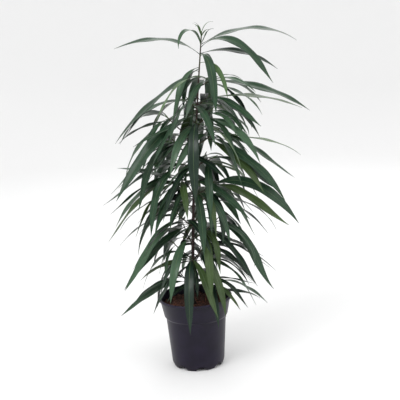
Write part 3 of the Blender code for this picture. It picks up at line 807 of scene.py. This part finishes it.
def tube_rings(points, radii, around):
    """Rings about a line: a circle of its own radius at each point, square to the run."""
    run = np.gradient(points, axis=0)
    run /= np.linalg.norm(run, axis=1, keepdims=True)
    first = np.cross(run, ASIDE)
    first /= np.linalg.norm(first, axis=1, keepdims=True)
    second = np.cross(run, first)
    turn = np.linspace(0, 2 * pi, around, endpoint=False)[None, :, None]
    circle = first[:, None] * np.cos(turn) + second[:, None] * np.sin(turn)
    return points[:, None] + circle * np.asarray(radii)[:, None, None]


def finish_material(name, colour, other, finish, coat=0.0):
    """A base colour mottled with another by fine noise, with a bump of its own scale."""
    made = bpy.data.materials.new(name)
    made.use_nodes = True
    nodes, links = made.node_tree.nodes, made.node_tree.links
    shader = nodes["Principled BSDF"]
    shader.inputs["Roughness"].default_value = finish.roughness
    shader.inputs["Coat Weight"].default_value = coat
    shader.inputs["Specular IOR Level"].default_value = SHINE
    coordinates = nodes.new("ShaderNodeTexCoord")
    noise = nodes.new("ShaderNodeTexNoise")
    noise.inputs["Scale"].default_value = finish.mottle
    noise.inputs["Detail"].default_value = MOTTLE_DETAIL
    ramp = nodes.new("ShaderNodeValToRGB")
    ramp.color_ramp.elements[0].position = MOTTLE_FROM
    ramp.color_ramp.elements[1].position = MOTTLE_TO
    ramp.color_ramp.elements[0].color = (*colour, 1)
    ramp.color_ramp.elements[1].color = (*other, 1)
    grain = nodes.new("ShaderNodeTexNoise")
    grain.inputs["Scale"].default_value = finish.grain
    grain.inputs["Detail"].default_value = GRAIN_DETAIL
    relief = nodes.new("ShaderNodeBump")
    relief.inputs["Strength"].default_value = GRAIN_STRENGTH
    relief.inputs["Distance"].default_value = finish.depth
    links.new(coordinates.outputs["Object"], noise.inputs["Vector"])
    links.new(coordinates.outputs["Object"], grain.inputs["Vector"])
    links.new(noise.outputs["Fac"], ramp.inputs["Fac"])
    links.new(ramp.outputs["Color"], shader.inputs["Base Color"])
    links.new(grain.outputs["Fac"], relief.inputs["Height"])
    links.new(relief.outputs["Normal"], shader.inputs["Normal"])
    return made


def pot_material(colour, worn, dust):
    """Moulded plastic: mottled, scuffed paler at the lip and dusty towards its foot."""
    other = np.array(colour) * PLASTIC_MOTTLE
    made = finish_material("moulded_plastic", colour, other, FINISHES["plastic"])
    nodes, links = made.node_tree.nodes, made.node_tree.links
    shader, ramp = nodes["Principled BSDF"], nodes["Color Ramp"]
    coordinates, apart = nodes["Texture Coordinate"], nodes.new("ShaderNodeSeparateXYZ")
    links.new(coordinates.outputs["Object"], apart.inputs[0])
    below = ramp.outputs["Color"]
    bands = [(POT_HEIGHT - WORN_BAND, POT_HEIGHT, worn, WORN_SHARE), (DUST_BAND, 0, dust, DUST_SHARE)]
    for low, high, colour_there, most in bands:
        band = nodes.new("ShaderNodeMapRange")
        band.inputs["From Min"].default_value = low
        band.inputs["From Max"].default_value = high
        band.inputs["To Max"].default_value = most
        mix = nodes.new("ShaderNodeMix")
        mix.data_type = "RGBA"
        mix.inputs["B"].default_value = (*colour_there, 1)
        links.new(apart.outputs["Z"], band.inputs["Value"])
        links.new(band.outputs["Result"], mix.inputs["Factor"])
        links.new(below, mix.inputs["A"])
        below = mix.outputs["Result"]
    links.new(below, shader.inputs["Base Color"])
    return made


def rounded(corners):
    """A profile with each corner (radius from the axis, height, fillet) taken off by a
    parabola from a fillet before the corner to a fillet after it."""
    points = np.array([corner[:2] for corner in corners])
    path = [points[:1]]
    share = np.linspace(0, 1, FILLET_POINTS)[:, None]
    for before, here, after, corner in zip(points[:-2], points[1:-1], points[2:], corners[1:-1]):
        back, on = before - here, after - here
        size = min(corner[2], np.linalg.norm(back) * FILLET_SHARE, np.linalg.norm(on) * FILLET_SHARE)
        start = here + back / np.linalg.norm(back) * size
        end = here + on / np.linalg.norm(on) * size
        path.append(start * (1 - share) ** 2 + here * 2 * share * (1 - share) + end * share ** 2)
    path.append(points[-1:])
    return np.vstack(path)


def turned(profile, around):
    """Points and faces of a profile turned about the axis, running down its outer side. Its
    first and last points lie on the axis, where the turns close to fans."""
    turn = np.linspace(0, 2 * pi, around, endpoint=False)
    ring = np.stack([np.cos(turn), np.sin(turn)], -1)
    middle = profile[1:-1]
    flat = middle[:, None, :1] * ring[None]
    body = np.concatenate([flat, np.broadcast_to(middle[:, None, 1:], flat[..., :1].shape)], -1)
    points = np.vstack([body.reshape(-1, 3), [[0, 0, profile[0, 1]], [0, 0, profile[-1, 1]]]])
    index = np.arange(len(middle) * around).reshape(len(middle), around)
    up, down = index[:-1], index[1:]
    quads = np.stack([up, down, np.roll(down, -1, 1), np.roll(up, -1, 1)], -1).reshape(-1, 4)
    start, end = len(points) - 2, len(points) - 1
    first = np.stack([np.full(around, start), index[0], np.roll(index[0], -1)], -1)
    last = np.stack([np.full(around, end), np.roll(index[-1], -1), index[-1]], -1)
    return points, quads.tolist() + first.tolist() + last.tolist()


def pot_profile():
    """The pot from the inside of its hub over the lip and down its outer side."""
    fine, soft = FINE_FILLET, SOFT_FILLET
    inner = [(radius, height, fine) for radius, height in pot_inner_profile(0)]
    outer = [
        (COLLAR_TOP_RADIUS - WALL + LIP_EDGE, POT_HEIGHT, soft),
        (LIP_RADIUS, POT_HEIGHT, soft),
        (LIP_RADIUS, POT_HEIGHT - LIP_HEIGHT, fine),
        (COLLAR_TOP_RADIUS, POT_HEIGHT - LIP_HEIGHT, fine),
        (COLLAR_LOW_RADIUS, COLLAR_LOW, soft),
        (BODY_TOP_RADIUS, BODY_TOP, soft),
        (BODY_LOW_RADIUS, BODY_LOW, BODY_FILLET),
        (FOOT_RADIUS + FOOT_STEP, FOOT_STEP_RISE, fine),
        (FOOT_RADIUS, 0, fine),
        (FOOT_RADIUS - WALL, 0, fine),
        (BODY_LOW_RADIUS - 2 * WALL, SKIRT_INNER_RISE, fine),
        (BODY_LOW_RADIUS - 2 * WALL, RING_RISE, fine),
        (HUB_RADIUS, RING_RISE, fine),
        (HUB_RADIUS, 0, fine),
        (0, 0, 0),
    ]
    return rounded(inner + outer)


def cut_arches(pot):
    """Cuts the arches through the skirt, each by an oval bar laid outwards."""
    reach = BODY_LOW_RADIUS - HUB_RADIUS
    middle = (HUB_RADIUS + BODY_LOW_RADIUS) / 2 + ARCH_SHIFT
    for k in range(ARCHES):
        azimuth = np.radians(FIRST_ARCH + 360 * k / ARCHES)
        out = np.array([cos(azimuth), sin(azimuth), 0])
        line = out * np.array([middle - reach / 2, middle + reach / 2])[:, None]
        turn = np.linspace(0, 2 * pi, ARCH_AROUND, endpoint=False)[None, :, None]
        up = np.array([0, 0, 1])
        across = np.cross(up, out)
        oval = across * np.cos(turn) * ARCH_HALF_WIDTH + up * np.sin(turn) * ARCH_RISE
        points, faces = skins((line[:, None] + oval)[None])
        mesh = bpy.data.meshes.new("arch")
        mesh.from_pydata(points.tolist(), [], faces)
        bar = bpy.data.objects.new("arch", mesh)
        bpy.context.scene.collection.objects.link(bar)
        cut = pot.modifiers.new("arch", "BOOLEAN")
        cut.operation = "DIFFERENCE"
        cut.object = bar
        cut.solver = "EXACT"
        whole = pot.evaluated_get(bpy.context.evaluated_depsgraph_get())
        mesh = bpy.data.meshes.new_from_object(whole)
        pot.modifiers.clear()
        pot.data = mesh
        bpy.data.objects.remove(bar)
    pot.data.shade_smooth()
    pot.data.set_sharp_from_angle(angle=np.radians(SHARP_ANGLE))


def soil_height(x, y):
    """Uneven top of the soil: many crossing waves of unlike lengths, under the flat top."""
    rng = np.random.default_rng(SEED + 1)
    height = np.full(np.shape(x), SOIL_TOP - SOIL_SINK)
    for _ in range(SOIL_WAVES):
        wave = 2 * pi / rng.uniform(*SOIL_WAVE_LENGTH)
        way, phase = rng.uniform(0, 2 * pi, 2)
        along = x * np.cos(way) + y * np.sin(way)
        height = height + SOIL_WAVE_HEIGHT * np.sin(wave * along + phase)
    return height


def soil_radius(height):
    """Radius of the soil at a height in the collar: the straight inner side, less a gap."""
    share = (height - COLLAR_LOW) / (POT_HEIGHT - LIP_HEIGHT - COLLAR_LOW)
    return COLLAR_LOW_RADIUS + (COLLAR_TOP_RADIUS - COLLAR_LOW_RADIUS) * share - WALL - GAP


def lumps(places, sizes, rng):
    """Small closed lumps: four uneven rings on an axis, each lump turned its own way."""
    many = len(places)
    levels, girth = np.array(LUMP_LEVELS), np.array(LUMP_GIRTHS)
    turn = np.linspace(0, 2 * pi, LUMP_AROUND, endpoint=False)
    uneven = rng.uniform(*LUMP_UNEVEN, (many, len(levels), LUMP_AROUND))
    radius = girth[None, :, None] * uneven
    shape = np.stack([radius * np.cos(turn), radius * np.sin(turn),
                      np.broadcast_to(levels[None, :, None], radius.shape)], -1)
    shape = shape * sizes[:, None, None, :]
    spun, tipped, _ = rng.uniform(0, 2 * pi, (3, many))
    tipped = tipped * LUMP_TILT
    zero, one = np.zeros(many), np.ones(many)
    cosine, sine = np.cos(spun), np.sin(spun)
    spin = np.stack([cosine, -sine, zero, sine, cosine, zero, zero, zero, one], -1)
    cosine, sine = np.cos(tipped), np.sin(tipped)
    tilt = np.stack([one, zero, zero, zero, cosine, -sine, zero, sine, cosine], -1)
    turns = spin.reshape(-1, 3, 3) @ tilt.reshape(-1, 3, 3)
    return skins(np.einsum("nij,nabj->nabi", turns, shape) + places[:, None, None])


def scattered(count, rng):
    """Places spread evenly over the soil, clear of the trunk."""
    radius = np.sqrt(rng.uniform(0, 1, count)) * (soil_radius(SOIL_TOP) - RIM_ROOM)
    turn = rng.uniform(0, 2 * pi, count)
    x, y = radius * np.cos(turn), radius * np.sin(turn)
    off = np.hypot(x - FOOT[0], y - FOOT[1]) > TRUNK_ROOM
    return np.stack([x, y, soil_height(x, y)], -1)[off]


def stalk_rings(stalk):
    """A dry stalk's rings: a line that rises out of the soil and bends over, ever thinner."""
    shares = np.linspace(0, 1, SHOOT_ROWS)
    start = np.array([stalk.place[0] * MM, stalk.place[1] * MM, SOIL_TOP - STALK_SINK])
    slopes = [stalk.rise + bend for bend in STALK_BENDS]
    line, _ = arc(start, stalk.azimuth, slopes, stalk.length * MM, shares)
    return tube_rings(line, STALK_RADIUS * (1 - STALK_TAPER * shares), SHOOT_AROUND)


def trunk_rings(relief):
    """The trunk's rings with bark: ridges that wander round it, a swelling at each shoot."""
    heights = np.linspace(SOIL_TOP - TRUNK_SINK, TRUNK_TOP, TRUNK_ROWS)
    centre = trunk_point(np.maximum(heights, FOOT[2]))
    centre[:, 2] = heights
    radius = trunk_radius(np.maximum(heights, FOOT[2]))[:, None]
    turn = np.linspace(0, 2 * pi, TRUNK_AROUND, endpoint=False)[None]
    along = heights[:, None]
    rng = np.random.default_rng(SEED + 2)
    bark = np.zeros((TRUNK_ROWS, TRUNK_AROUND))
    for _ in range(RIDGES):
        around, wave = rng.integers(*RIDGES_AROUND), rng.uniform(*RIDGES_ALONG)
        phase, other = rng.uniform(0, 2 * pi, 2)
        bark = bark + np.sin(around * turn + phase) * np.sin(wave * along + other)
    radius = radius * (1 + relief * bark / RIDGE_LEVEL)
    for shoot in SHOOTS.values():
        near = np.exp(-((along - shoot.height * MM) / KNOT_REACH) ** 2)
        facing = 0.5 + 0.5 * np.cos(turn - np.radians(shoot.azimuth))
        radius = radius + KNOT_RISE * near * facing
    ring = np.stack([np.cos(turn), np.sin(turn), 0 * turn], -1)
    return centre[:, None] + radius[..., None] * ring


def shoot_rings(name):
    """A shoot's rings, from inside the trunk to its tip, with slight swellings along it."""
    shares = np.linspace(0, 1, SHOOT_ROWS)
    points = stem_line(name, shares)
    if name == "foliage_top":
        radii = trunk_radius(points[:, 2])
        root = trunk_point(np.array([TRUNK_TOP - LEADER_SINK]))
    else:
        radii = SHOOT_RADIUS + (SHOOT_TIP_RADIUS - SHOOT_RADIUS) * shares
        root = trunk_point(np.array([points[0, 2]]))
        radii = radii * (1 + SHOOT_SWELL * np.sin(shares * 2 * pi * SHOOT_SWELLINGS))
    return tube_rings(np.vstack([root, points]), np.append(radii[:1], radii), SHOOT_AROUND)


def bud_rings(name):
    """The closed young leaf at a shoot's end: a slender spike that carries the shoot on."""
    ends = stem_line(name, np.array([BUD_START, 1.0]))
    run = ends[1] - ends[0]
    run = run / np.linalg.norm(run)
    length = TOP_BUD_LENGTH if name == "foliage_top" else BUD_LENGTH
    shares = np.linspace(0, 1, BUD_ROWS)
    points = ends[0] + run * (shares * length)[:, None]
    swell = np.sin(pi * (BUD_FROM + (1 - BUD_FROM) * shares)) ** BUD_POWER
    radii = SHOOT_TIP_RADIUS * (BUD_POINT + BUD_GIRTH * swell)
    return tube_rings(points, radii, SHOOT_AROUND)


def blade_lift(shares, across, half, wave, phase):
    """Height of the blade's face over its midrib: folded up from it and gently waved, more
    towards the edges and less towards both ends."""
    fold = KEEL_SHARE * half * np.abs(across) ** FOLD_POWER
    swell = np.sin(2 * pi * EDGE_WAVES * shares + phase + EDGE_LAG * np.sign(across))
    return fold + wave * half * across ** 2 * swell * np.sin(pi * shares)


def leaf_rings(name, leaf, thickness, wave, phase):
    """A leaf's rings: round at the petiole, then a thin lance-shaped blade. Each ring runs
    over the upper face from one edge to the other and back under it."""
    shares = np.linspace(0, 1, LEAF_ROWS)
    spine, side, up = leaf_frame(name, leaf, shares)
    half = leaf.length * MM * WIDTH_SHARE / 2 * FULLNESS * leaf_width(shares)
    half = np.maximum(half, PETIOLE_RADIUS * (PETIOLE_WIDTH - PETIOLE_NARROWING * shares))[:, None]
    petiole = np.exp(-(shares / PETIOLE_SHARE) ** 2)[:, None]
    across = np.linspace(1, -1, LEAF_ACROSS)[None]
    thick = thickness + (PETIOLE_DEPTH * PETIOLE_RADIUS - thickness) * petiole
    thick = thick * np.sqrt(1 - (EDGE_THINNING + ROOT_THINNING * petiole) * across ** 2) / 2
    lift = blade_lift(shares[:, None], across, half, wave, phase)
    over, under = lift + thick, (lift - thick)[:, ::-1]
    sideways = np.concatenate([across, across[:, ::-1]], 1) * half
    upward = np.concatenate([over, under], 1)
    return spine[:, None] + side[:, None] * sideways[..., None] + up[:, None] * upward[..., None]


def rib_rings(name, leaf, thickness):
    """The midrib: an oval line that stands proud of both faces and fades at the tip."""
    shares = np.linspace(PETIOLE_SHARE, RIB_END, LEAF_ROWS)
    spine, side, up = leaf_frame(name, leaf, shares)
    turn = np.linspace(0, 2 * pi, RIB_AROUND, endpoint=False)[None]
    wide = (RIB_HALF_WIDTH * (1 - RIB_NARROWING * shares))[:, None]
    high = (thickness / 2 + RIB_RISE * (1 - RIB_FADING * shares))[:, None]
    return (spine[:, None] + side[:, None] * (wide * np.cos(turn))[..., None]
            + up[:, None] * (high * np.sin(turn))[..., None])


def deal(name, rng):
    """The colour of a leaf, dealt out one by one: painted shade, as darker greens more often lower down.
    """
    height = TIP[2] if name == "foliage_top" else SHOOTS[name].height * MM
    down = np.clip((HIGH - height) / (HIGH - LOW), 0, 1)
    odds = HIGH_ODDS + (LOW_ODDS - HIGH_ODDS) * down
    return rng.choice(len(LEAF_TONES), p=odds / odds.sum())


def seamless_floor():
    """A round floor that sweeps up into a wall: flat to a radius, then a quarter ellipse."""
    turn = np.linspace(0, 2 * pi, FLOOR_AROUND, endpoint=False)[None]
    rise = np.linspace(0, pi / 2, FLOOR_ROWS)[:, None]
    radius = np.vstack([[[FLOOR_MIDDLE]], [[FLOOR_RADIUS]], FLOOR_RADIUS + WALL_REACH * np.sin(rise[1:])])
    height = np.vstack([[[0.0]], [[0.0]], WALL_RISE * (1 - np.cos(rise[1:]))])
    points = np.stack([radius * np.cos(turn), radius * np.sin(turn), height + 0 * turn], -1)
    index = np.arange(len(points) * FLOOR_AROUND).reshape(-1, FLOOR_AROUND)
    low, high = index[:-1], index[1:]
    quads = np.stack([low, high, np.roll(high, -1, 1), np.roll(low, -1, 1)], -1).reshape(-1, 4)
    return points.reshape(-1, 3), quads.tolist() + [index[0].tolist()]


def frame_of(back):
    """Rows of a rotation whose own Z points along back and whose X is level."""
    z = back / np.linalg.norm(back)
    x = np.cross([0, 0, 1.0], z)
    x /= np.linalg.norm(x)
    return np.stack([x, np.cross(z, x), z], 1).tolist()


def lay_floor():
    """The pale floor, which isn't a part of the plant."""
    points, faces = seamless_floor()
    mesh = bpy.data.meshes.new("floor")
    mesh.from_pydata(points.tolist(), [], faces)
    mesh.shade_smooth()
    floor = bpy.data.objects.new("floor", mesh)
    pale = bpy.data.materials.new("pale_floor")
    pale.use_nodes = True
    shader = pale.node_tree.nodes["Principled BSDF"]
    shader.inputs["Base Color"].default_value = FLOOR_COLOUR
    shader.inputs["Roughness"].default_value = FLOOR_ROUGHNESS
    mesh.materials.append(pale)
    bpy.context.scene.collection.objects.link(floor)


def light_studio():
    """Even light from all round, and square lamps that face the plant."""
    world = bpy.data.worlds.new("studio")
    world.use_nodes = True
    sky = world.node_tree.nodes["Background"]
    sky.inputs["Color"].default_value = SKY_COLOUR
    sky.inputs["Strength"].default_value = SKY_STRENGTH
    bpy.context.scene.world = world
    for lamp in LAMPS:
        light = bpy.data.lights.new(lamp.name, "AREA")
        light.size = lamp.size
        light.energy = lamp.power
        obj = bpy.data.objects.new(lamp.name, light)
        obj.rotation_euler = Matrix(frame_of(np.array(lamp.place) - np.array(LAMP_AIM))).to_euler()
        obj.location = lamp.place
        bpy.context.scene.collection.objects.link(obj)


def set_camera():
    """The camera at the photo's angle: turned down by its pitch, then leaned sideways."""
    camera = bpy.data.cameras.new("camera")
    camera.lens = LENS_MM
    camera.sensor_width = SENSOR_MM
    eye = bpy.data.objects.new("camera", camera)
    pitch, lean = np.radians([CAMERA_PITCH, CAMERA_LEAN])
    forward = np.array([0, cos(pitch), -sin(pitch)])
    right, up = np.array([1.0, 0, 0]), np.array([0, sin(pitch), cos(pitch)])
    axes = np.stack([right * cos(lean) - up * sin(lean), right * sin(lean) + up * cos(lean), -forward], 1)
    eye.rotation_euler = Matrix(axes.tolist()).to_euler()
    eye.location = CAMERA_PLACE
    bpy.context.scene.collection.objects.link(eye)
    bpy.context.scene.camera = eye


def colour_prop(name, description, default):
    """A linear colour that the user may change."""
    return bpy.props.FloatVectorProperty(name=name, description=description, subtype="COLOR",
                                         size=3, min=0, max=1, default=default)


class FicusPot(bpy.types.PropertyGroup):
    colour: colour_prop("Plastic", "Colour of the pot", tone(20, 16, 31))
    worn: colour_prop("Worn plastic", "Colour where the pot is scuffed", tone(46, 40, 60))
    dust: colour_prop("Dust", "Dust towards the foot", tone(34, 28, 40))
    soil: colour_prop("Soil", "Colour of the soil", tone(62, 42, 38))
    soil_pale: colour_prop("Pale soil", "Colour of the drier soil", tone(104, 76, 66))
    bits: colour_prop("Bark bits", "Colour of the bark bits", tone(128, 82, 62))


class FicusWood(bpy.types.PropertyGroup):
    bark: colour_prop("Bark", "Colour of the trunk", tone(46, 36, 37))
    bark_pale: colour_prop("Pale bark", "Colour of the paler bark", tone(76, 62, 58))
    shoot: colour_prop("Shoots", "Colour of the side shoots", tone(74, 72, 50))
    relief: bpy.props.FloatProperty(
        name="Relief", description="Share of the radius that bark stands proud",
        default=0.07, min=0, max=0.3)


class FicusLeaves(bpy.types.PropertyGroup):
    young: colour_prop("Young", "Youngest leaves", tone(76, 102, 62))
    light: colour_prop("Light", "Leaves in full light", tone(57, 82, 60))
    mid: colour_prop("Middle", "Most leaves", tone(40, 64, 45))
    # Painted shade: the darkest green stands for leaves in shadow
    shaded: colour_prop("Deep", "Old leaves", tone(26, 43, 33))
    olive: colour_prop("Olive", "Leaves that turn", tone(58, 76, 42))
    rib: colour_prop("Midrib", "Midribs", tone(78, 100, 66))
    thickness: bpy.props.FloatProperty(
        name="Thickness", description="Thickness of a blade", subtype="DISTANCE", unit="LENGTH",
        default=0.45 * MM, min=0.1 * MM, max=2 * MM)
    wave: bpy.props.FloatProperty(
        name="Wave", description="Height of the edge's waves over the half width",
        default=0.13, min=0, max=0.5)


class FICUS_OT_pot(bpy.types.Operator):
    """Turns the pot and cuts its arches"""
    bl_idname = "ficus.pot"
    bl_label = "Pot"

    def execute(self, context):
        looks = context.scene.ficus_pot
        plastic = pot_material(looks.colour, looks.worn, looks.dust)
        points, faces = turned(pot_profile(), POT_AROUND)
        cut_arches(piece("nursery_pot", points, faces, plastic, "pot", ["pot"]))
        return {"FINISHED"}


class FICUS_OT_soil(bpy.types.Operator):
    """Fills the pot with uneven soil, crumbs, bits of bark and dry stalks"""
    bl_idname = "ficus.soil"
    bl_label = "Soil"

    def execute(self, context):
        looks = context.scene.ficus_pot
        earth = finish_material("potting_soil", looks.soil, looks.soil_pale, FINISHES["soil"])
        crumb = finish_material("soil_crumb", looks.soil, looks.soil_pale, FINISHES["crumb"])
        bit = finish_material("bark_bit", looks.bits, looks.soil, FINISHES["bark_bit"])
        rows = np.linspace(0, soil_radius(SOIL_TOP), SOIL_ROWS)
        flat = np.stack([rows, np.full(SOIL_ROWS, SOIL_TOP)], -1)
        shell = np.array([(r, z) for r, z in pot_inner_profile(GAP) if z < SOIL_TOP])[::-1]
        points, faces = turned(np.vstack([flat, shell]), SOIL_AROUND)
        top = points[:, 2] >= SOIL_TOP
        points[top, 2] = soil_height(points[top, 0], points[top, 1])
        piece("soil_bed", points, faces, earth, "soil", ["soil"])
        rng = np.random.default_rng(SEED + 3)
        places = scattered(CRUMBS, rng)
        sizes = rng.uniform(*CRUMB_SIZE, (len(places), 1)) * rng.uniform(*CRUMB_STRETCH, (len(places), 3))
        piece("soil_crumbs", *lumps(places, sizes, rng), crumb, "soil")
        places = scattered(BARK_BITS, rng)
        sizes = rng.uniform(*BIT_SIZE, (len(places), 1)) * np.array(BIT_SHAPE)
        piece("bark_bits", *lumps(places, sizes, rng), bit, "bark")
        stalks = np.stack([stalk_rings(stalk) for stalk in STALKS])
        piece("dry_stalks", *skins(stalks), bit, "bark")
        return {"FINISHED"}


class FICUS_OT_trunk(bpy.types.Operator):
    """Builds the trunk with its bark"""
    bl_idname = "ficus.trunk"
    bl_label = "Trunk"

    def execute(self, context):
        looks = context.scene.ficus_wood
        bark = finish_material("ficus_bark", looks.bark, looks.bark_pale, FINISHES["bark"])
        points, faces = skins(trunk_rings(looks.relief)[None])
        piece("bark_trunk", points, faces, bark, "bark", ["trunk"])
        return {"FINISHED"}


class FICUS_OT_shoots(bpy.types.Operator):
    """Builds the side shoots, the leader and their buds"""
    bl_idname = "ficus.shoots"
    bl_label = "Shoots"

    def execute(self, context):
        looks = context.scene.ficus_wood
        young = context.scene.ficus_leaves.young
        green = finish_material("green_shoot", looks.shoot, looks.bark, FINISHES["shoot"])
        bud = finish_material("bud_sheath", young, looks.shoot, FINISHES["bud"])
        shoots = np.stack([shoot_rings(name) for name in FOLIAGE])
        buds = np.stack([bud_rings(name) for name in FOLIAGE])
        piece("shoots", *skins(shoots), green, "foliage", FOLIAGE)
        piece("buds", *skins(buds), bud, "foliage")
        return {"FINISHED"}


class FICUS_OT_leaves(bpy.types.Operator):
    """Grows the leaves by the rule, one piece for each colour, and their midribs"""
    bl_idname = "ficus.leaves"
    bl_label = "Leaves"

    def execute(self, context):
        looks = context.scene.ficus_leaves
        rng = np.random.default_rng(SEED + 4)
        hands = {shade: [] for shade in LEAF_TONES}
        ribs = []
        for name, leaves in grow().items():
            for leaf in leaves:
                # The dealt colours include painted light and painted shade, with more painted shade lower
                # in the crown
                shade = LEAF_TONES[deal(name, rng)]
                phase = rng.uniform(0, 2 * pi)
                hands[shade].append(leaf_rings(name, leaf, looks.thickness, looks.wave, phase))
                ribs.append(rib_rings(name, leaf, looks.thickness))
        for leaf in CROWN:
            hands["young"].append(leaf_rings("foliage_top", leaf, looks.thickness, 0, 0))
        for shade, rings in hands.items():
            dark, pale = (np.array(getattr(looks, shade)) * share for share in LEAF_MOTTLE)
            green = finish_material("leaf_" + shade, dark, pale, FINISHES["leaf"], LEAF_COAT)
            piece("leaves_" + shade, *skins(np.stack(rings)), green, "foliage", FOLIAGE)
        rib = finish_material("leaf_rib", looks.rib, np.array(looks.rib) * RIB_MOTTLE, FINISHES["rib"])
        piece("midribs", *skins(np.stack(ribs)), rib, "foliage")
        return {"FINISHED"}


class FICUS_OT_stage(bpy.types.Operator):
    """Sets the pale floor, the soft light and the camera"""
    bl_idname = "ficus.stage"
    bl_label = "Stage"

    def execute(self, context):
        lay_floor()
        light_studio()
        set_camera()
        bpy.context.scene.view_settings.view_transform = "Standard"
        return {"FINISHED"}


OPERATORS = [FICUS_OT_pot, FICUS_OT_soil, FICUS_OT_trunk, FICUS_OT_shoots, FICUS_OT_leaves, FICUS_OT_stage]


class FICUS_PT_panel(bpy.types.Panel):
    """Lists the steps that build the plant"""
    bl_idname = "FICUS_PT_panel"
    bl_label = "Alii ficus"
    bl_space_type = "VIEW_3D"
    bl_region_type = "UI"
    bl_category = "Ficus"

    def draw(self, context):
        for step in OPERATORS:
            self.layout.operator(step.bl_idname)


GROUPS = {"ficus_pot": FicusPot, "ficus_wood": FicusWood, "ficus_leaves": FicusLeaves}


def register():
    """Registers the classes, and puts the groups of values on the scene."""
    for kind in [*GROUPS.values(), *OPERATORS, FICUS_PT_panel]:
        bpy.utils.register_class(kind)
    for name, kind in GROUPS.items():
        setattr(bpy.types.Scene, name, bpy.props.PointerProperty(type=kind))


def unregister():
    """Takes away what register put in."""
    for name in GROUPS:
        delattr(bpy.types.Scene, name)
    for kind in [FICUS_PT_panel, *OPERATORS[::-1], *GROUPS.values()]:
        bpy.utils.unregister_class(kind)


def main():
    """Builds the plant and its stage."""
    register()
    bpy.ops.ficus.pot()
    bpy.ops.ficus.soil()
    bpy.ops.ficus.trunk()
    bpy.ops.ficus.shoots()
    bpy.ops.ficus.leaves()
    bpy.ops.ficus.stage()


if __name__ == "__main__":
    main()
